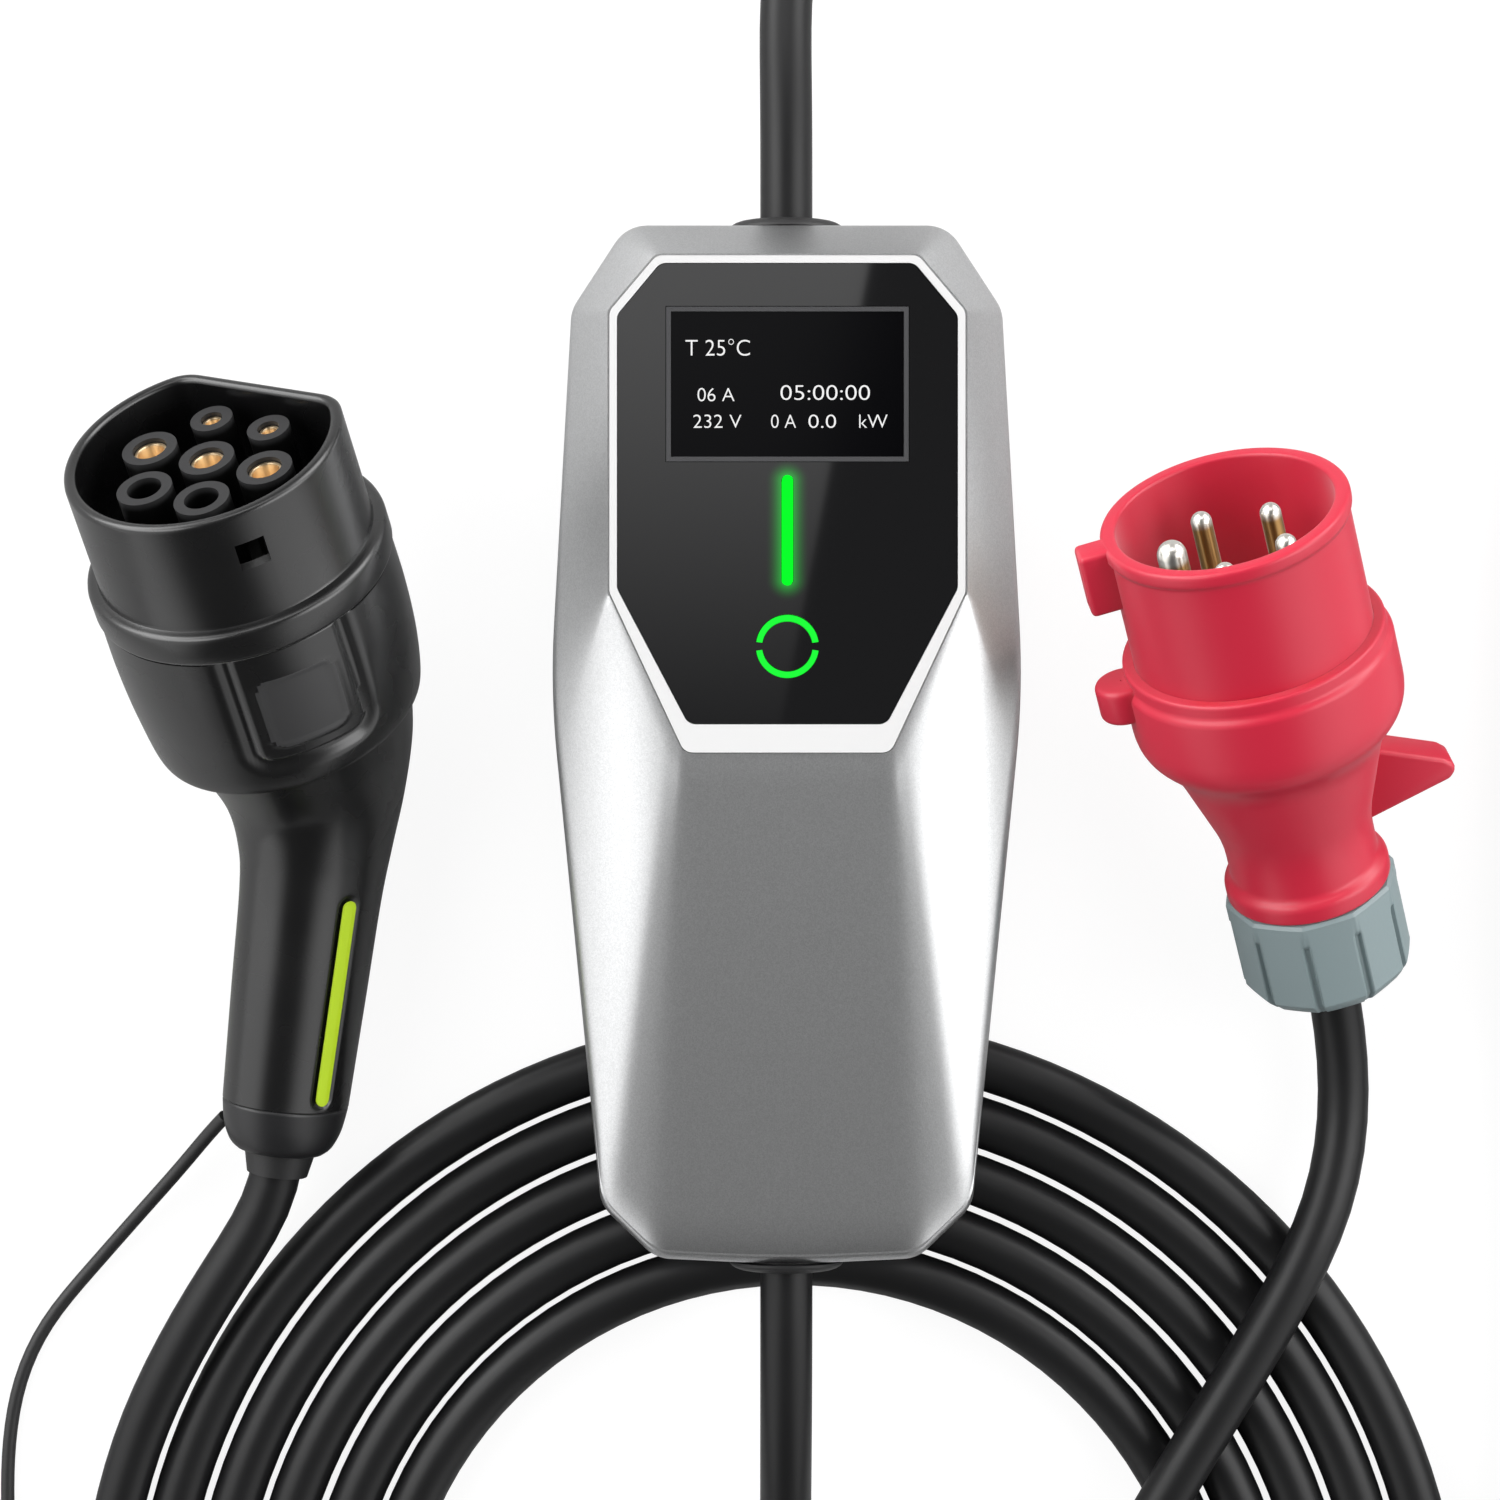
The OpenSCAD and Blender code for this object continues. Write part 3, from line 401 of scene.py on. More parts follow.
def cornerArcs(corners, steps):
    arcs = []
    for i, (x, y, radius) in enumerate(corners):
        here = Vector((x, y))
        before = Vector(corners[i - 1][:2])
        after = Vector(corners[(i + 1) % len(corners)][:2])
        u, v = (before - here).normalized(), (after - here).normalized()
        half = u.angle(v) / 2
        centre = here + (u + v).normalized() * radius / math.sin(half)
        first = here + u * radius / math.tan(half) - centre
        start = math.atan2(first.y, first.x)
        turn = 1 if (here - before).cross(after - here) > 0 else -1
        sweep = turn * (math.pi - 2 * half)
        angles = [start + sweep * k / steps for k in range(steps + 1)]
        arcs.append([centre + radius * Vector((math.cos(a), math.sin(a))) for a in angles])
    return arcs


def mirrored(right):
    return [(-x, y, radius) for x, y, radius in reversed(right)]


def caseCorners():
    radii = [case["corner"], case["corner"], case["waist"], case["corner"], case["corner"]]
    right = [(x, y, r) for (x, y), r in zip(case["right"], radii)]
    return right + [(0, case["foot"], case["bulge"])] + mirrored(right)


def panelCorners(grow, tail):
    right = [(panel["topHalf"] + grow / 2, panel["top"] + grow, panel["corner"]),
             (panel["half"] + grow, panel["top"] - panel["topCut"] + grow / 2, panel["corner"]),
             (panel["half"] + grow, panel["foot"] + panel["footCut"] - grow / 2, panel["corner"]),
             (panel["footHalf"] + grow / 2, panel["foot"] - grow - tail, panel["corner"])]
    return right + mirrored(right)


def matchedLoops(steps, inner):
    outer = cornerArcs(caseCorners(), steps)

    def panelArcs(grow):
        arcs = cornerArcs(panelCorners(grow, panel["tail"]), steps)

        def between(i, low, high):
            return [lerp(arcs[i][-1], arcs[i + 1][0], lerp(low, high, k / steps)) for k in range(steps + 1)]

        right, foot, left = (between(*stretch) for stretch in panel["facing"])
        return [*arcs[:3], right, arcs[3], foot, arcs[4], left, *arcs[5:]]

    def filled(arcs):
        loop = []
        for i, arc in enumerate(arcs):
            after = arcs[(i + 1) % len(arcs)][0]
            loop += arc + [lerp(arc[-1], after, k / (inner + 1)) for k in range(1, inner + 1)]
        return loop

    shoulder, pocket = (panelArcs(panel["rim"] + panel[key]) for key in ("land", "pocket"))
    return filled(outer), filled(shoulder), filled(pocket)


def frontShell(material):
    look = {
        "edge": 4, "edgeSteps": 6, "first": 0.1, "rows": 16, "crown": 0.5, "top": case["height"] - 1,
        "seamGap": 0.1, "blur": 45, "blurEnd": 0.8, "blurSpan": (24, -16), "wall": 1.8, "wallDrop": 0.6,
        "wallRows": (0.8, 0.5, 0.2), "pocket": 2.2, "cornerSteps": 8, "sideSteps": 12, "sharp": 30,
    }
    outline, shoulder, pocket = matchedLoops(look["cornerSteps"], look["sideSteps"])

    def level(loop, z):
        return [Vector((p.x, p.y, z)) for p in loop]

    def sloped(t):
        z = lerp(case["facet"], look["top"], t) + look["crown"] * 4 * t * (1 - t)
        ring = [Vector((*lerp(a, b, t), z)) for a, b in zip(outline, shoulder)]
        soft = ring
        for _ in range(round(look["blur"] * ease(1, look["blurEnd"], t) * ease(0, look["first"], t))):
            soft = [(soft[i - 1] + 2 * p + soft[(i + 1) % len(soft)]) / 4 for i, p in enumerate(soft)]
        return [lerp(a, b, ease(*look["blurSpan"], a.y)) for a, b in zip(ring, soft)]

    def inside(ring):
        inward = [Vector((*(b - a).normalized(), -look["wallDrop"])) for a, b in zip(outline, shoulder)]
        return [p + way * look["wall"] for p, way in zip(ring, inward)]

    low, knee = level(outline, case["facet"] - look["edge"]), level(outline, case["facet"])
    start = sloped(look["first"])
    rings = [level(outline, case["seam"] + look["seamGap"])]
    for i in range(look["edgeSteps"] + 1):
        t = i / look["edgeSteps"]
        rings.append([lerp(lerp(a, b, t), lerp(b, c, t), t) for a, b, c in zip(low, knee, start)])
    rings += [sloped(lerp(look["first"], 1, i / look["rows"])) for i in range(1, look["rows"] + 1)]
    rings += [level(pocket, look["top"]), level(pocket, look["top"] - look["pocket"])]
    rings += [inside(sloped(t)) for t in look["wallRows"]]
    rings += [inside(knee), inside(rings[0])]
    mesh = ringMesh("front_shell_skin", rings, onBox, "joined")
    if mesh.polygons[len(outline) * look["rows"]].normal.z < 0:
        mesh.flip_normals()
    piece = keep(mesh, "front_shell_skin", material, look["sharp"])
    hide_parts("front_shell")
    return piece


def softProfile(points, steps=4):
    soft = []
    for i, (r, z, radius) in enumerate(points):
        here = Vector((r, z))
        if radius == 0 or i in (0, len(points) - 1):
            soft.append(here)
            continue
        u = (Vector(points[i - 1][:2]) - here).normalized()
        v = (Vector(points[i + 1][:2]) - here).normalized()
        a, b = here + u * radius, here + v * radius
        shares = [k / steps for k in range(steps + 1)]
        soft += [lerp(lerp(a, here, t), lerp(here, b, t), t) for t in shares]
    return soft


gun = {
    "bend": math.radians(stand["gunBend"]), "head": 71, "flange": 8, "rim": 108, "sides": 224, "step": 0.5,
    "capSides": 96, "capStep": 0.7, "lip": 0.5, "lap": 3, "tuck": 0.6, "capTuck": 1.8, "sharp": 60,
    "recess": {"turn": math.radians(40), "half": 17, "low": 36.5, "corner": 7, "groove": 3.6, "depth": 1.9,
               "slope": 0.8, "edge": 0.6, "floor": 0.25, "floorEdge": 0.4},
    "label": {"middle": 54, "half": 9.5, "corner": 3, "line": 0.42, "lineSpan": (0.9, 0.2), "margin": 0.6},
    "stripe": {"lift": math.radians(20), "y": -46.5, "length": 51, "width": 3.8, "line": 0.9, "depth": 0.7,
               "edge": (0.4, -0.2)},
}
shroudLook = {
    "sides": 160, "radius": 33, "flat": 25, "blend": 3, "wall": 3, "flange": 36, "flangeIn": 3,
    "footRound": 1.2, "browRound": 1.6, "rimRound": 1.4, "mouthRound": 1.2,
    "fillet": ((0.9, 0), (0.25, 0.25), (0, 0.9)), "floor": 4, "latch": 7, "latchDrop": 15,
    "latchTurns": (-40, 220), "latchReach": (20, 45), "sharp": 40,
}


def headStation(d, rx, rz):
    return Vector((d * math.cos(gun["bend"]), d * math.sin(gun["bend"]), gun["bend"], rx, rz))


gunStations = [
    headStation(71, 35.4, 35.4), headStation(57, 35.6, 35.4), headStation(43, 34.6, 34.8),
    headStation(31, 32, 33.6),
    *[Vector((y, z, share * gun["bend"], rx, rz)) for y, z, share, rx, rz in (
        (25, 17.5, 0.88, 28.6, 31), (14, 8.5, 0.7, 24.6, 27.4), (2, 2.6, 0.45, 20.6, 23.4),
        (-10, 0.4, 0.2, 17.8, 20.6), (-22, 0, 0, 16.4, 19.2), (-46, 0, 0, 15.6, 18.2),
        (-74, 0, 0, 14.6, 17))],
]
capStations = [Vector((y, 0, 0, rx, rz)) for y, rx, rz in (
    (-74, 14.6, 17), (-80, 13.8, 15.6), (-84.2, 12.2, 13.4), (-86, 10.4, 11.2))]


def splined(stations, step):
    fine = []
    last = len(stations) - 1
    for i in range(last):
        a, b, c, d = stations[max(i - 1, 0)], stations[i], stations[i + 1], stations[min(i + 2, last)]
        count = max(1, round((Vector(c[:2]) - Vector(b[:2])).length / step))
        fine += [curved(a, b, c, d, k / count) for k in range(count)]
    return fine + [stations[-1]]


def recessPlace(point):
    onAxis = Matrix.Rotation(math.pi / 2 - gun["bend"], 3, "X") @ point
    return Matrix.Rotation(gun["recess"]["turn"], 3, "Z") @ onAxis


def labelEdge(place):
    label = gun["label"]
    inset = label["half"] - label["corner"]
    dy, dz = abs(place.y) - inset, abs(place.z - label["middle"]) - inset
    return math.hypot(max(dy, 0), max(dz, 0)) + min(max(dy, dz), 0) - label["corner"]


def gunRecess(point):
    recess, stripe = gun["recess"], gun["stripe"]
    turned = recessPlace(point)
    depth = 0
    if turned.x > 0:
        dx = abs(turned.y) - recess["half"] + recess["corner"]
        dz = recess["low"] + recess["corner"] - turned.z
        edge = math.hypot(max(dx, 0), max(dz, 0)) + min(max(dx, dz), 0) - recess["corner"]
        inner, soft, floorSoft = -recess["groove"], recess["edge"], recess["floorEdge"]
        depth = recess["depth"] * ease(recess["slope"], inner + soft, edge)
        depth *= ease(inner - soft, inner + soft, edge)
        depth += recess["floor"] * ease(inner + floorSoft, inner - floorSoft, edge)
        depth -= gun["label"]["line"] * ease(*gun["label"]["lineSpan"], abs(labelEdge(turned)))
    for side in (1, -1):
        lift = Matrix.Rotation(stripe["lift"] * side, 3, "Y") @ point
        if lift.x * side > 0:
            along = abs(lift.y - stripe["y"]) - (stripe["length"] - stripe["width"]) / 2
            edge = math.hypot(max(along, 0), lift.z) - stripe["width"] / 2
            outer, inner = (stripe["line"] + soft for soft in stripe["edge"])
            depth = max(depth, stripe["depth"] * ease(outer, inner, edge))
    return depth


def gunRing(station, sides, sink, grow=0):
    y, z, turn, rx, rz = station
    ring = []
    for k in range(sides):
        a = 2 * math.pi * k / sides
        out = Vector((math.cos(a) / rx, math.sin(a) / rz)).normalized()
        flat = Vector((rx * math.cos(a), rz * math.sin(a))) + out * grow
        point = Vector((flat.x, y - flat.y * math.sin(turn), z + flat.y * math.cos(turn)))
        if sink:
            flat -= out * sink(point)
            point = Vector((flat.x, y - flat.y * math.sin(turn), z + flat.y * math.cos(turn)))
        ring.append(point)
    return ring


def gunShell(material, labelMaterial):
    line = splined(gunStations, gun["step"])
    sides, lip, lap = gun["sides"], gun["lip"], gun["lap"]
    rings = [gunRing(line[0], sides, None, -gun["tuck"])] + [gunRing(s, sides, gunRecess) for s in line[1:-1]]
    rings += [gunRing(line[-1], sides, None, -lip), gunRing(line[-1], sides, None, -lap)]
    piece = keep(ringMesh("connector_skin", rings, onGun), "connector_skin", material, gun["sharp"])
    piece.data.materials.append(labelMaterial)
    places = [recessPlace(point) for ring in rings for point in ring]
    for face in piece.data.polygons:
        if all(places[v].x > 0 and labelEdge(places[v]) < gun["label"]["margin"] for v in face.vertices):
            face.material_index = 1
    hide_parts("connector_shell", "recess_plate")
    return piece


def gunCap(material):
    line = splined(capStations, gun["capStep"])
    sides, lip, lap = gun["capSides"], gun["lip"], gun["lap"]
    rings = [gunRing(line[0], sides, None, -lap), gunRing(line[0], sides, None, -lip)]
    rings += [gunRing(s, sides, None) for s in line[1:]] + [gunRing(line[-1], sides, None, -gun["capTuck"])]
    piece = keep(ringMesh("end_cap_skin", rings, onGun), "end_cap_skin", material, gun["sharp"])
    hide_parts("connector_end_cap")
    return piece


def dPoint(angle, radius, flat, blend):
    x, y = radius * math.cos(angle), radius * math.sin(angle)
    share = min(1, max(0, 0.5 + 0.5 * (flat - y) / blend))
    return Vector((x, lerp(flat, y, share) - blend * share * (1 - share)))


def around(count):
    return [2 * math.pi * k / count for k in range(count)]


def gunShroud(material):
    look, angles = shroudLook, around(shroudLook["sides"])

    def circle(r, z):
        return [(r * math.cos(a), r * math.sin(a), z) for a in angles]

    def shaped(grow, z):
        return [(*dPoint(a, look["radius"] + grow, look["flat"] + grow, look["blend"]), z) for a in angles]

    base, top, rim, quarter = gun["head"], gun["head"] + gun["flange"], gun["rim"], math.pi / 2
    radius, wall = look["flange"], look["wall"]
    foot, brow, lip, mouth = (look[key] for key in ("footRound", "browRound", "rimRound", "mouthRound"))
    rings = [circle(radius - look["flangeIn"], base), circle(radius - foot, base)]
    rings += [circle(radius - foot + foot * math.sin(a), base + foot * (1 - math.cos(a)))
              for a in (0.5, 1, quarter)]
    rings += [circle(radius - brow + brow * math.cos(a), top - brow + brow * math.sin(a))
              for a in (0, 0.5, 1, quarter)]
    rings += [shaped(grow, top + up) for grow, up in look["fillet"]]
    rings += [shaped(-lip + lip * math.cos(a), rim - lip + lip * math.sin(a))
              for a in (0, 0.4, 0.8, 1.2, quarter)]
    rings += [shaped(-wall + mouth - mouth * math.sin(a), rim - mouth + mouth * math.cos(a))
              for a in (0, 0.5, 1, quarter)]
    rings += [shaped(-wall, base + look["floor"])]
    piece = keep(ringMesh("shroud_skin", rings, onHead, "joined"), "shroud_skin", material, look["sharp"])
    half, low = look["latch"] / 2, rim - look["latchDrop"]
    loop = [(-half, low), (half, low), (half, low + look["latch"]), (-half, low + look["latch"])]
    for turn in look["latchTurns"]:
        place = onHead @ Matrix.Rotation(math.radians(turn), 4, "Z")
        sides = [[(x, y, z) for y, z in loop] for x in look["latchReach"]]
        cut(piece, ringMesh("latch_cutter", sides, place, "capped"))
    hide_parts("connector_shroud")
    return piece


sockets = {
    "power": (3.05, [(-16.5, 0), (0, 0), (16.5, 0)]), "signal": (1.55, [(-8.2, 14), (8.2, 14)]),
    "wall": 0.85, "low": 79, "top": 102.8, "mouth": (0.3, 0.5), "sides": 40,
}


def contacts(kind, material):
    bore, places = sockets[kind]
    outer, low, top = bore + sockets["wall"], sockets["low"], sockets["top"]
    wide, deep = sockets["mouth"]
    profile = [Vector(p) for p in (
        (0.1, low), (bore, low), (bore, top - deep), (bore + wide, top), (outer, top), (outer, low))]
    meshes = [turned(kind, profile, onHead @ Matrix.Translation((x, y, 0)), sockets["sides"])
              for x, y in places]
    piece = keep(joined(meshes), kind + "_sockets", material)
    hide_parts(kind + "_contacts")
    return piece


plug = {
    "nut": 27, "nutRadius": 21, "neck": 18, "collar": 75, "collarTop": 97, "collarRadius": 32.5,
    "radius": 28.5, "wall": 2.8, "rim": 131, "carrier": 86, "key": (9, 8, 16), "knob": 6.5, "arm": 10,
    "armRound": 1.1, "knobSides": 40, "flats": 10, "nutSides": 400, "flatShare": 0.75,
    "groove": (1.15, 0.5), "sharp": 40,
}


def boxMesh(name, low, high, place, soft, steps=3):
    shape = bmesh.new()
    bmesh.ops.create_cube(shape, size=1)
    size, middle = Vector(high) - Vector(low), (Vector(high) + Vector(low)) / 2
    for vert in shape.verts:
        vert.co = Vector((vert.co.x * size.x, vert.co.y * size.y, vert.co.z * size.z)) + middle
    bmesh.ops.bevel(shape, geom=shape.edges[:], offset=soft, segments=steps, affect="EDGES", profile=0.5)
    mesh = bpy.data.meshes.new(name)
    for vert in shape.verts:
        vert.co = toWorld(place, vert.co)
    shape.to_mesh(mesh)
    shape.free()
    return mesh


def joined(pieces):
    first = pieces[0]
    shape = bmesh.new()
    for mesh in pieces:
        shape.from_mesh(mesh)
    shape.to_mesh(first)
    shape.free()
    return first


def turned(name, profile, place, segments=96, ends="open"):
    rings = [[(r * math.cos(a), r * math.sin(a), z) for a in around(segments)] for r, z in profile]
    return ringMesh(name, rings, place, ends)


def plugShroud(material):
    r, inner, rim = plug["radius"], plug["radius"] - plug["wall"], plug["rim"]
    foot = plug["carrier"] + 1
    profile = softProfile([(r, foot, 0), (r, rim - 4.2, 0.8), (r + 0.9, rim - 3.2, 0.8), (r + 0.9, rim, 1.2),
                           (inner, rim, 0.9), (inner, foot, 0)])
    w, d, h = plug["key"]
    key = boxMesh("key", (2 - r - w, -d / 2, rim - h), (2.6 - r, d / 2, rim - 0.1), onPlug, 1.2)
    mesh = joined([turned("plug_shroud_skin", profile, onPlug, ends="joined"), key])
    piece = keep(mesh, "plug_shroud_skin", material, plug["sharp"])
    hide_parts("plug_shroud")
    return piece


def plugBody(material):
    n, neck, c, top, r = plug["nut"], plug["neck"], plug["collar"], plug["collarTop"], plug["collarRadius"]
    profile = softProfile([
        (15, n + 0.3, 0), (neck + 2, n + 0.3, 0.8), (neck + 2, n + 4.6, 1.2), (neck, n + 6.2, 1.2),
        (neck, n + 17, 5), (25.5, c - 8, 4), (r - 1, c - 1, 2.5), (r, c + 3, 2), (r, top - 4.6, 1),
        (r - 1.2, top - 3.4, 0.8), (r - 1.2, top, 1), (plug["radius"] + 0.1, top, 0)], 5)
    body = turned("plug_body_skin", profile, onPlug)
    wide, low, high = plug["knob"], top - 11, top - 2
    knobProfile = softProfile([(0.2, low, 0), (wide, low, 1.4), (wide, high, 1.6), (0.2, high, 0)])
    knob = turned("knob", knobProfile, onPlug @ Matrix.Translation((-r, 0, 0)), plug["knobSides"])
    half = plug["arm"] / 2
    outline = [(neck - 4, n + 14), (r + 5.4, n + 19.6), (r + 7, n + 21.4), (r + 7, n + 23.2),
               (r + 5, n + 25.2), (neck, n + 35)]
    arm = ringMesh("arm", [[(x, y, z) for x, z in outline] for y in (-half, half)], onPlug, "capped")
    shape = bmesh.new()
    shape.from_mesh(arm)
    bmesh.ops.bevel(shape, geom=shape.edges[:], offset=plug["armRound"] * mm, segments=3, affect="EDGES",
                    profile=0.5)
    shape.to_mesh(arm)
    shape.free()
    piece = keep(joined([body, knob, arm]), "plug_body_skin", material, plug["sharp"])
    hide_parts("plug_body")
    return piece


def glandNut(material):
    reach = plug["nutRadius"]
    step = 2 * math.pi / plug["flats"]

    def ring(r, z, groove):
        loop = []
        for a in around(plug["nutSides"]):
            off = (a + step / 2) % step - step / 2
            flat = math.cos(step / 2) / math.cos(off - math.copysign(step / 2, off))
            radius = r * lerp(1, flat, plug["flatShare"]) - groove * ease(*plug["groove"], abs(off) * r)
            loop.append((radius * math.cos(a), radius * math.sin(a), z))
        return loop

    n = plug["nut"]
    rings = [ring(*values) for values in (
        (7.4, 4, 0), (7.4, 0.6, 0), (8, 0, 0), (reach - 3.2, 0, 0.5), (reach - 2.4, 0.5, 1.0),
        (reach - 0.6, 2.6, 1.3), (reach, 3.6, 1.4), (reach, n - 7, 1.4), (reach, n - 6, 0.6),
        (reach, n - 5, 0), (reach, n - 0.8, 0), (reach - 0.7, n, 0), (15, n, 0))]
    piece = keep(ringMesh("gland_nut_skin", rings, onPlug), "gland_nut_skin", material, 30)
    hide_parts("gland_nut")
    return piece


readout = {
    "top": 61.3, "gap": 0.03, "extrude": 0.004, "thin": -0.011, "thick": 5,
    # each with its left end, its foot, its width and its height
    "lines": [
        ("T 25\u00b0C", -23.7, 90.6, 15.0, 3.9), ("06 A", -20.9, 80.0, 8.6, 3.1),
        ("05:00:00", -1.6, 80.3, 20.8, 3.46), ("232 V", -21.9, 73.8, 11.2, 3.1),
        ("0 A", -3.8, 73.8, 5.8, 3.1), ("0.0", 4.9, 73.8, 6.4, 3.1), ("kW", 16.7, 73.8, 6.6, 3.1),
    ],
}


def displayText(material):
    meshes = []
    for words, x, y, width, height in readout["lines"]:
        data = bpy.data.curves.new("readout", "FONT")
        data.body = words
        data.extrude = readout["extrude"]
        data.offset = readout["thin"]
        letters = bpy.data.objects.new("readout", data)
        scene.collection.objects.link(letters)
        bpy.context.view_layer.update()
        mesh = bpy.data.meshes.new_from_object(letters.evaluated_get(bpy.context.evaluated_depsgraph_get()))
        bpy.data.objects.remove(letters)
        left, right = min(v.co.x for v in mesh.vertices), max(v.co.x for v in mesh.vertices)
        tall = max(v.co.y for v in mesh.vertices)
        for vert in mesh.vertices:
            flat = (x + (vert.co.x - left) * width / (right - left), y + vert.co.y * height / tall,
                    readout["top"] + readout["gap"] + vert.co.z * readout["thick"])
            vert.co = toWorld(onBox, flat)
        meshes.append(mesh)
    mesh = joined(meshes)
    mesh.materials.clear()
    return keep(mesh, "readout", material)


print("materials")


def group(name, inputs, outputs):
    made = bpy.data.node_groups.new(name, "ShaderNodeTree")
    for socket, kind in inputs:
        made.interface.new_socket(socket, in_out="INPUT", socket_type=kind)
    for socket, kind in outputs:
        made.interface.new_socket(socket, in_out="OUTPUT", socket_type=kind)
    return made, made.nodes.new("NodeGroupInput"), made.nodes.new("NodeGroupOutput")


def grainGroup():
    made, given, out = group("mould grain", [("Scale", "NodeSocketFloat"), ("Depth", "NodeSocketFloat")],
                             [("Normal", "NodeSocketVector"), ("Sheen", "NodeSocketFloat")])
    place = add(made, "ShaderNodeTexCoord")
    fine = add(made, "ShaderNodeTexNoise")
    fine.inputs["Detail"].default_value = 3
    broad = add(made, "ShaderNodeTexNoise")
    broad.inputs["Scale"].default_value = 60
    bump = add(made, "ShaderNodeBump")
    bump.inputs["Strength"].default_value = 1
    join(made, place.outputs["Object"], fine.inputs["Vector"])
    join(made, place.outputs["Object"], broad.inputs["Vector"])
    join(made, given.outputs["Scale"], fine.inputs["Scale"])
    join(made, given.outputs["Depth"], bump.inputs["Distance"])
    join(made, fine.outputs["Fac"], bump.inputs["Height"])
    join(made, bump.outputs["Normal"], out.inputs["Normal"])
    join(made, broad.outputs["Fac"], out.inputs["Sheen"])
    return made


def flakeGroup():
    made, given, out = group("paint flake", [("Scale", "NodeSocketFloat")],
                             [("Tint", "NodeSocketFloat"), ("Normal", "NodeSocketVector")])
    place = add(made, "ShaderNodeTexCoord")
    cells = add(made, "ShaderNodeTexVoronoi")
    bump = add(made, "ShaderNodeBump")
    bump.inputs["Strength"].default_value = 0.35
    bump.inputs["Distance"].default_value = 0.00002
    split = add(made, "ShaderNodeSeparateColor")
    join(made, place.outputs["Object"], cells.inputs["Vector"])
    join(made, given.outputs["Scale"], cells.inputs["Scale"])
    join(made, cells.outputs["Color"], split.inputs[0])
    join(made, split.outputs[0], bump.inputs["Height"])
    join(made, split.outputs[1], out.inputs["Tint"])
    join(made, bump.outputs["Normal"], out.inputs["Normal"])
    return made


def fadeGroup():
    inputs = [("Axis", "NodeSocketVector"), ("From", "NodeSocketFloat"), ("To", "NodeSocketFloat")]
    made, given, out = group("axis fade", inputs, [("Mask", "NodeSocketFloat")])
    place = add(made, "ShaderNodeTexCoord")
    dot = add(made, "ShaderNodeVectorMath", operation="DOT_PRODUCT")
    span = add(made, "ShaderNodeMapRange", interpolation_type="SMOOTHSTEP")
    join(made, place.outputs["Object"], dot.inputs[0])
    join(made, given.outputs["Axis"], dot.inputs[1])
    join(made, dot.outputs["Value"], span.inputs["Value"])
    join(made, given.outputs["From"], span.inputs["From Min"])
    join(made, given.outputs["To"], span.inputs["From Max"])
    join(made, span.outputs["Result"], out.inputs["Mask"])
    return made


def glowGroup():
    look = {"bar": toWorld(onBox, (0, 50, 61.7)), "half": 0.0114, "width": 0.0013, "reach": 0.0042}
    made, given, out = group("light spill", [], [("Mask", "NodeSocketFloat")])
    place = add(made, "ShaderNodeTexCoord")
    split = add(made, "ShaderNodeSeparateXYZ")
    join(made, place.outputs["Object"], split.inputs[0])
    dy = maths(made, "ABSOLUTE", maths(made, "SUBTRACT", split.outputs[1], look["bar"].y))
    dy = maths(made, "MAXIMUM", maths(made, "SUBTRACT", dy, look["half"]), 0)
    across = maths(made, "MULTIPLY", split.outputs[0], split.outputs[0])
    away = maths(made, "SQRT", maths(made, "ADD", across, maths(made, "MULTIPLY", dy, dy)))
    left = maths(made, "DIVIDE", maths(made, "SUBTRACT", away, look["width"]), look["reach"])
    near = maths(made, "SUBTRACT", 1, left, clamp=True)
    join(made, maths(made, "POWER", near, 2.6), out.inputs["Mask"])
    return made


grain, flake, fade, spill = grainGroup(), flakeGroup(), fadeGroup(), glowGroup()


def use(nodeTree, shared, **values):
    node = add(nodeTree, "ShaderNodeGroup", node_tree=shared)
    for key, value in values.items():
        node.inputs[key].default_value = value
    return node


def blend(nodeTree, mask, first, second):
    mix = add(nodeTree, "ShaderNodeMix", data_type="RGBA")
    mix.inputs[6].default_value = (*first, 1)
    mix.inputs[7].default_value = (*second, 1)
    join(nodeTree, mask, mix.inputs[0])
    return mix.outputs[2]


def grained(name, colour, rough, scale=900, depth=0.00002, metal=0.0, vary=0.06, **more):
    material, nodeTree, shader = shellMaterial(name, colour, rough, metal, **more)
    surface = use(nodeTree, grain, Scale=scale, Depth=depth)
    join(nodeTree, surface.outputs["Normal"], shader.inputs["Normal"])
    span = add(nodeTree, "ShaderNodeMapRange")
    span.inputs["To Min"].default_value = rough - vary
    span.inputs["To Max"].default_value = rough + vary
    join(nodeTree, surface.outputs["Sheen"], span.inputs["Value"])
    join(nodeTree, span.outputs["Result"], shader.inputs["Roughness"])
    return material


def silverPaint():
    material, nodeTree, shader = shellMaterial("silver paint", (0.58, 0.585, 0.59), 0.36, 1.0)
    flakes = use(nodeTree, flake, Scale=4200)
    tint = blend(nodeTree, flakes.outputs["Tint"], (0.53, 0.535, 0.54), (0.64, 0.645, 0.65))
    join(nodeTree, tint, shader.inputs["Base Color"])
    join(nodeTree, flakes.outputs["Normal"], shader.inputs["Normal"])
    return material


def panelGlass():
    material, nodeTree, shader = shellMaterial("black glass", (0.006, 0.006, 0.0065), 0.02)
    shader.inputs["Emission Color"].default_value = (0.0, 0.75, 0.05, 1)
    glow = use(nodeTree, spill)
    strength = maths(nodeTree, "MULTIPLY", glow.outputs["Mask"], 0.45)
    join(nodeTree, strength, shader.inputs["Emission Strength"])
    return material


def glowing(name, colour, strength):
    lit = {"Emission Color": (*colour, 1), "Emission Strength": strength, "Specular IOR Level": 0.1}
    return shellMaterial(name, tuple(0.3 * c for c in colour), 0.35, **lit)[0]


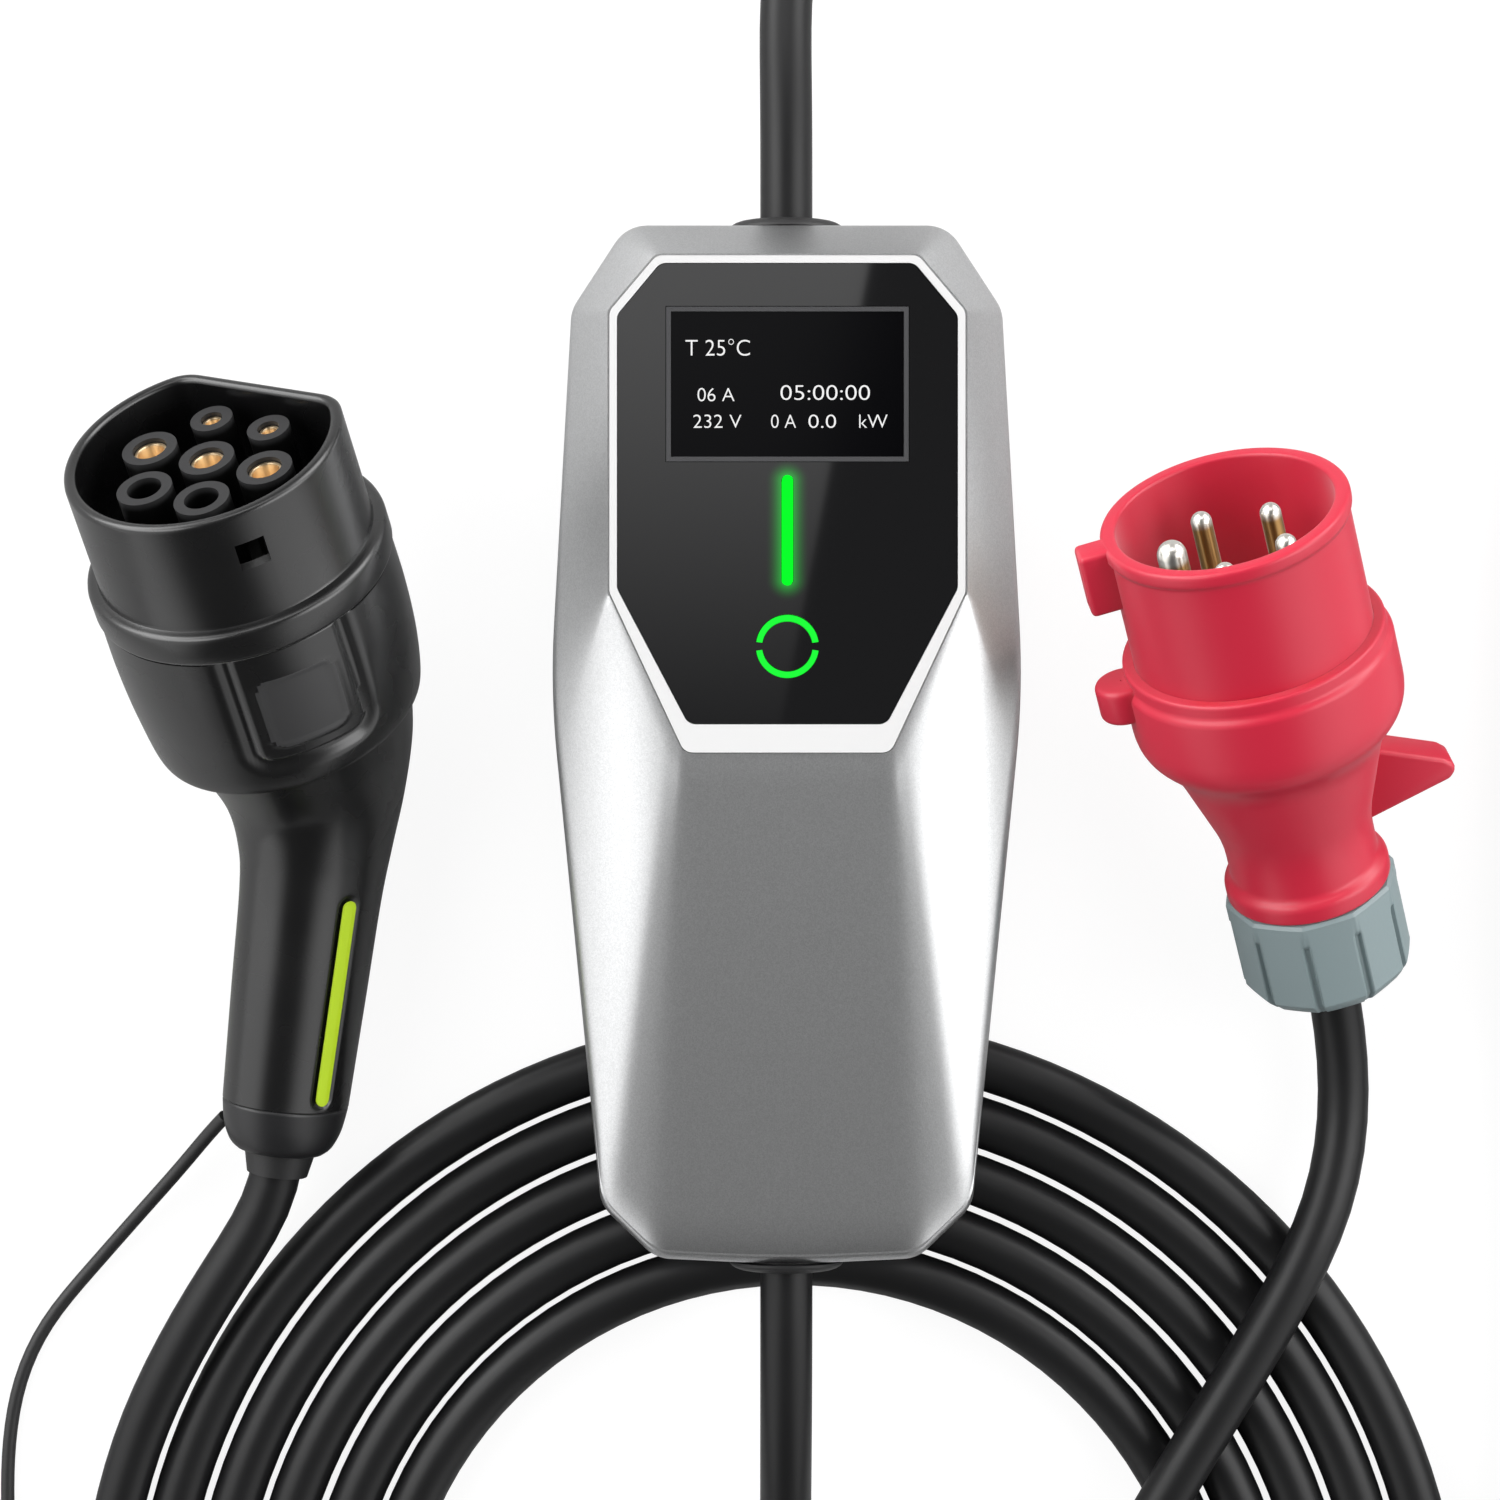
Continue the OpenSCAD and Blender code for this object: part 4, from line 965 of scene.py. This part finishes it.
# blends two colours along the place's z axis; used for the contact carrier's painted shade and the pins'
# painted highlight
def fadeMaterial(name, place, first, second, span, rough, metal=0.0, **more):
    material, nodeTree, shader = shellMaterial(name, first, rough, metal, **more)
    axis = (place.to_3x3() @ Vector((0, 0, 1))).normalized()
    start = place.translation.dot(axis)
    mask = use(nodeTree, fade, Axis=axis, From=(start + span[0]) * mm, To=(start + span[1]) * mm)
    join(nodeTree, blend(nodeTree, mask.outputs["Mask"], first, second), shader.inputs["Base Color"])
    return material


paints = {
    "silver": silverPaint(),
    "rim": grained("pale rim", (0.66, 0.66, 0.66), 0.32, 700, 0.000004),
    "glass": panelGlass(),
    "bezel": grained("display frame", (0.055, 0.055, 0.058), 0.34),
    "face": shellMaterial("display face", (0.0015, 0.0015, 0.002), 0.08, **{"Specular IOR Level": 0.06})[0],
    "bar": glowing("light bar", (0.0, 1.0, 0.015), 1.0),
    "ring": glowing("light ring", (0.01, 0.8, 0.035), 0.85),
    "letters": glowing("readout", (0.8, 0.8, 0.8), 0.75),
    "black": grained("connector black", (0.003, 0.003, 0.0032), 0.27, 1400, 0.000006,
                     **{"Specular IOR Level": 0.75}),
    "label": grained("label grey", (0.035, 0.035, 0.036), 0.45, 1400, 0.000006),
    "grey": grained("end cap grey", (0.012, 0.012, 0.013), 0.38, 1400, 0.00001),
    # painted shade: the contact carrier is near black up to 101.8 mm along the head's axis and lighter only
    # above 103.9 mm, its front face, so it darkens deeper inside the shroud and the sockets
    "carrier": fadeMaterial("contact carrier", onHead, (0.001, 0.001, 0.001), (0.03, 0.03, 0.031),
                            (101.8, 103.9), 0.5, **{"Specular IOR Level": 0.2}),
    "gold": grained("contact gold", (0.8, 0.62, 0.4), 0.36, 500, 0.0000004, 1.0),
    "lime": grained("lime stripe", (0.5, 0.72, 0.012), 0.4),
    "red": grained("plug red", (0.56, 0.018, 0.046), 0.36, 1200, 0.000012),
    "pinCarrier": grained("pin carrier", (0.62, 0.58, 0.57), 0.45),
    # painted highlight: above 121 to 123 mm up the plug the brass pins turn pale silver, standing in for the
    # highlights on their round tips
    "pins": fadeMaterial("pins", onPlug, (0.42, 0.24, 0.09), (0.85, 0.82, 0.76), (121, 123), 0.3, 1.0),
    "nut": grained("nut grey", (0.22, 0.28, 0.29), 0.42, 1100, 0.00002),
    "rubber": grained("gland rubber", (0.014, 0.014, 0.0145), 0.5, 1500, 0.00003),
    "board": grained("circuit board", (0.012, 0.12, 0.035), 0.35, 300, 0.00002),
    "part": grained("component black", (0.02, 0.02, 0.022), 0.45),
    "core": grained("sensor core", (0.2, 0.09, 0.04), 0.6),
    "wrap": grained("transformer wrap", (0.62, 0.45, 0.06), 0.35),
    "terminal": grained("terminal green", (0.04, 0.2, 0.06), 0.45),
    "steel": grained("screw steel", (0.6, 0.6, 0.61), 0.3, 800, 0.000008, 1.0),
}
wears = {
    "rear_shell": "silver", "case_gasket": "rubber", "panel_rim": "rim", "glass_panel": "glass",
    "display_bezel": "bezel", "display": "face", "light_bar": "bar", "light_ring": "ring",
    "display_board": "board", "main_board": "board", "relays": "part", "current_sensor": "core",
    "supply_transformer": "wrap", "capacitors": "part", "control_module": "part",
    "input_terminals": "terminal", "output_terminals": "terminal", "board_screws": "steel",
    "case_screws": "steel", "top_gland": "rubber", "bottom_gland": "rubber", "contact_carrier": "carrier",
    "grip_stripes": "lime", "connector_grommet": "rubber", "dust_cap": "rubber",
    "pin_carrier": "pinCarrier", "phase_pins": "pins", "earth_pin": "pins", "plug_seal": "rubber",
}
soft = {
    "panel_rim": 0.45, "glass_panel": 0.25, "contact_carrier": 0.5, "dust_cap": 1.4, "rear_shell": 0.6,
    "top_gland": 0.4, "bottom_gland": 0.4, "grip_stripes": 0.3,
}

print("pieces")
for name, piece in nodes.items():
    piece.data.materials.clear()
    piece.data.materials.append(paints[wears.get(name, "part")])
    if name in soft:
        edge = piece.modifiers.new("soft edge", "BEVEL")
        edge.width = soft[name] * mm
        edge.segments = 3
        edge.limit_method = "ANGLE"
        edge.angle_limit = math.radians(38)
        edge.harden_normals = False
frontShell(paints["silver"])
shroud = gunShroud(paints["black"])
shell = gunShell(paints["black"], paints["label"])
endCap = gunCap(paints["grey"])
golds = [contacts("power", paints["gold"]), contacts("signal", paints["gold"])]
plugPieces = [plugShroud(paints["red"]), plugBody(paints["red"]), glandNut(paints["nut"])]
displayText(paints["letters"])
# the box's paint shows soft studio light only, so its neighbours stay out of its reflections
for piece in (shell, *plugPieces[:2]):
    piece.visible_glossy = False
jacket = grained("cable jacket", (0.009, 0.009, 0.0095), 0.4, 1800, 0.00001, **{"Specular IOR Level": 0.3})
for curve in (chargeCable, supplyLead):
    curve.data.materials.append(jacket)
capStrap.data.materials.append(paints["rubber"])
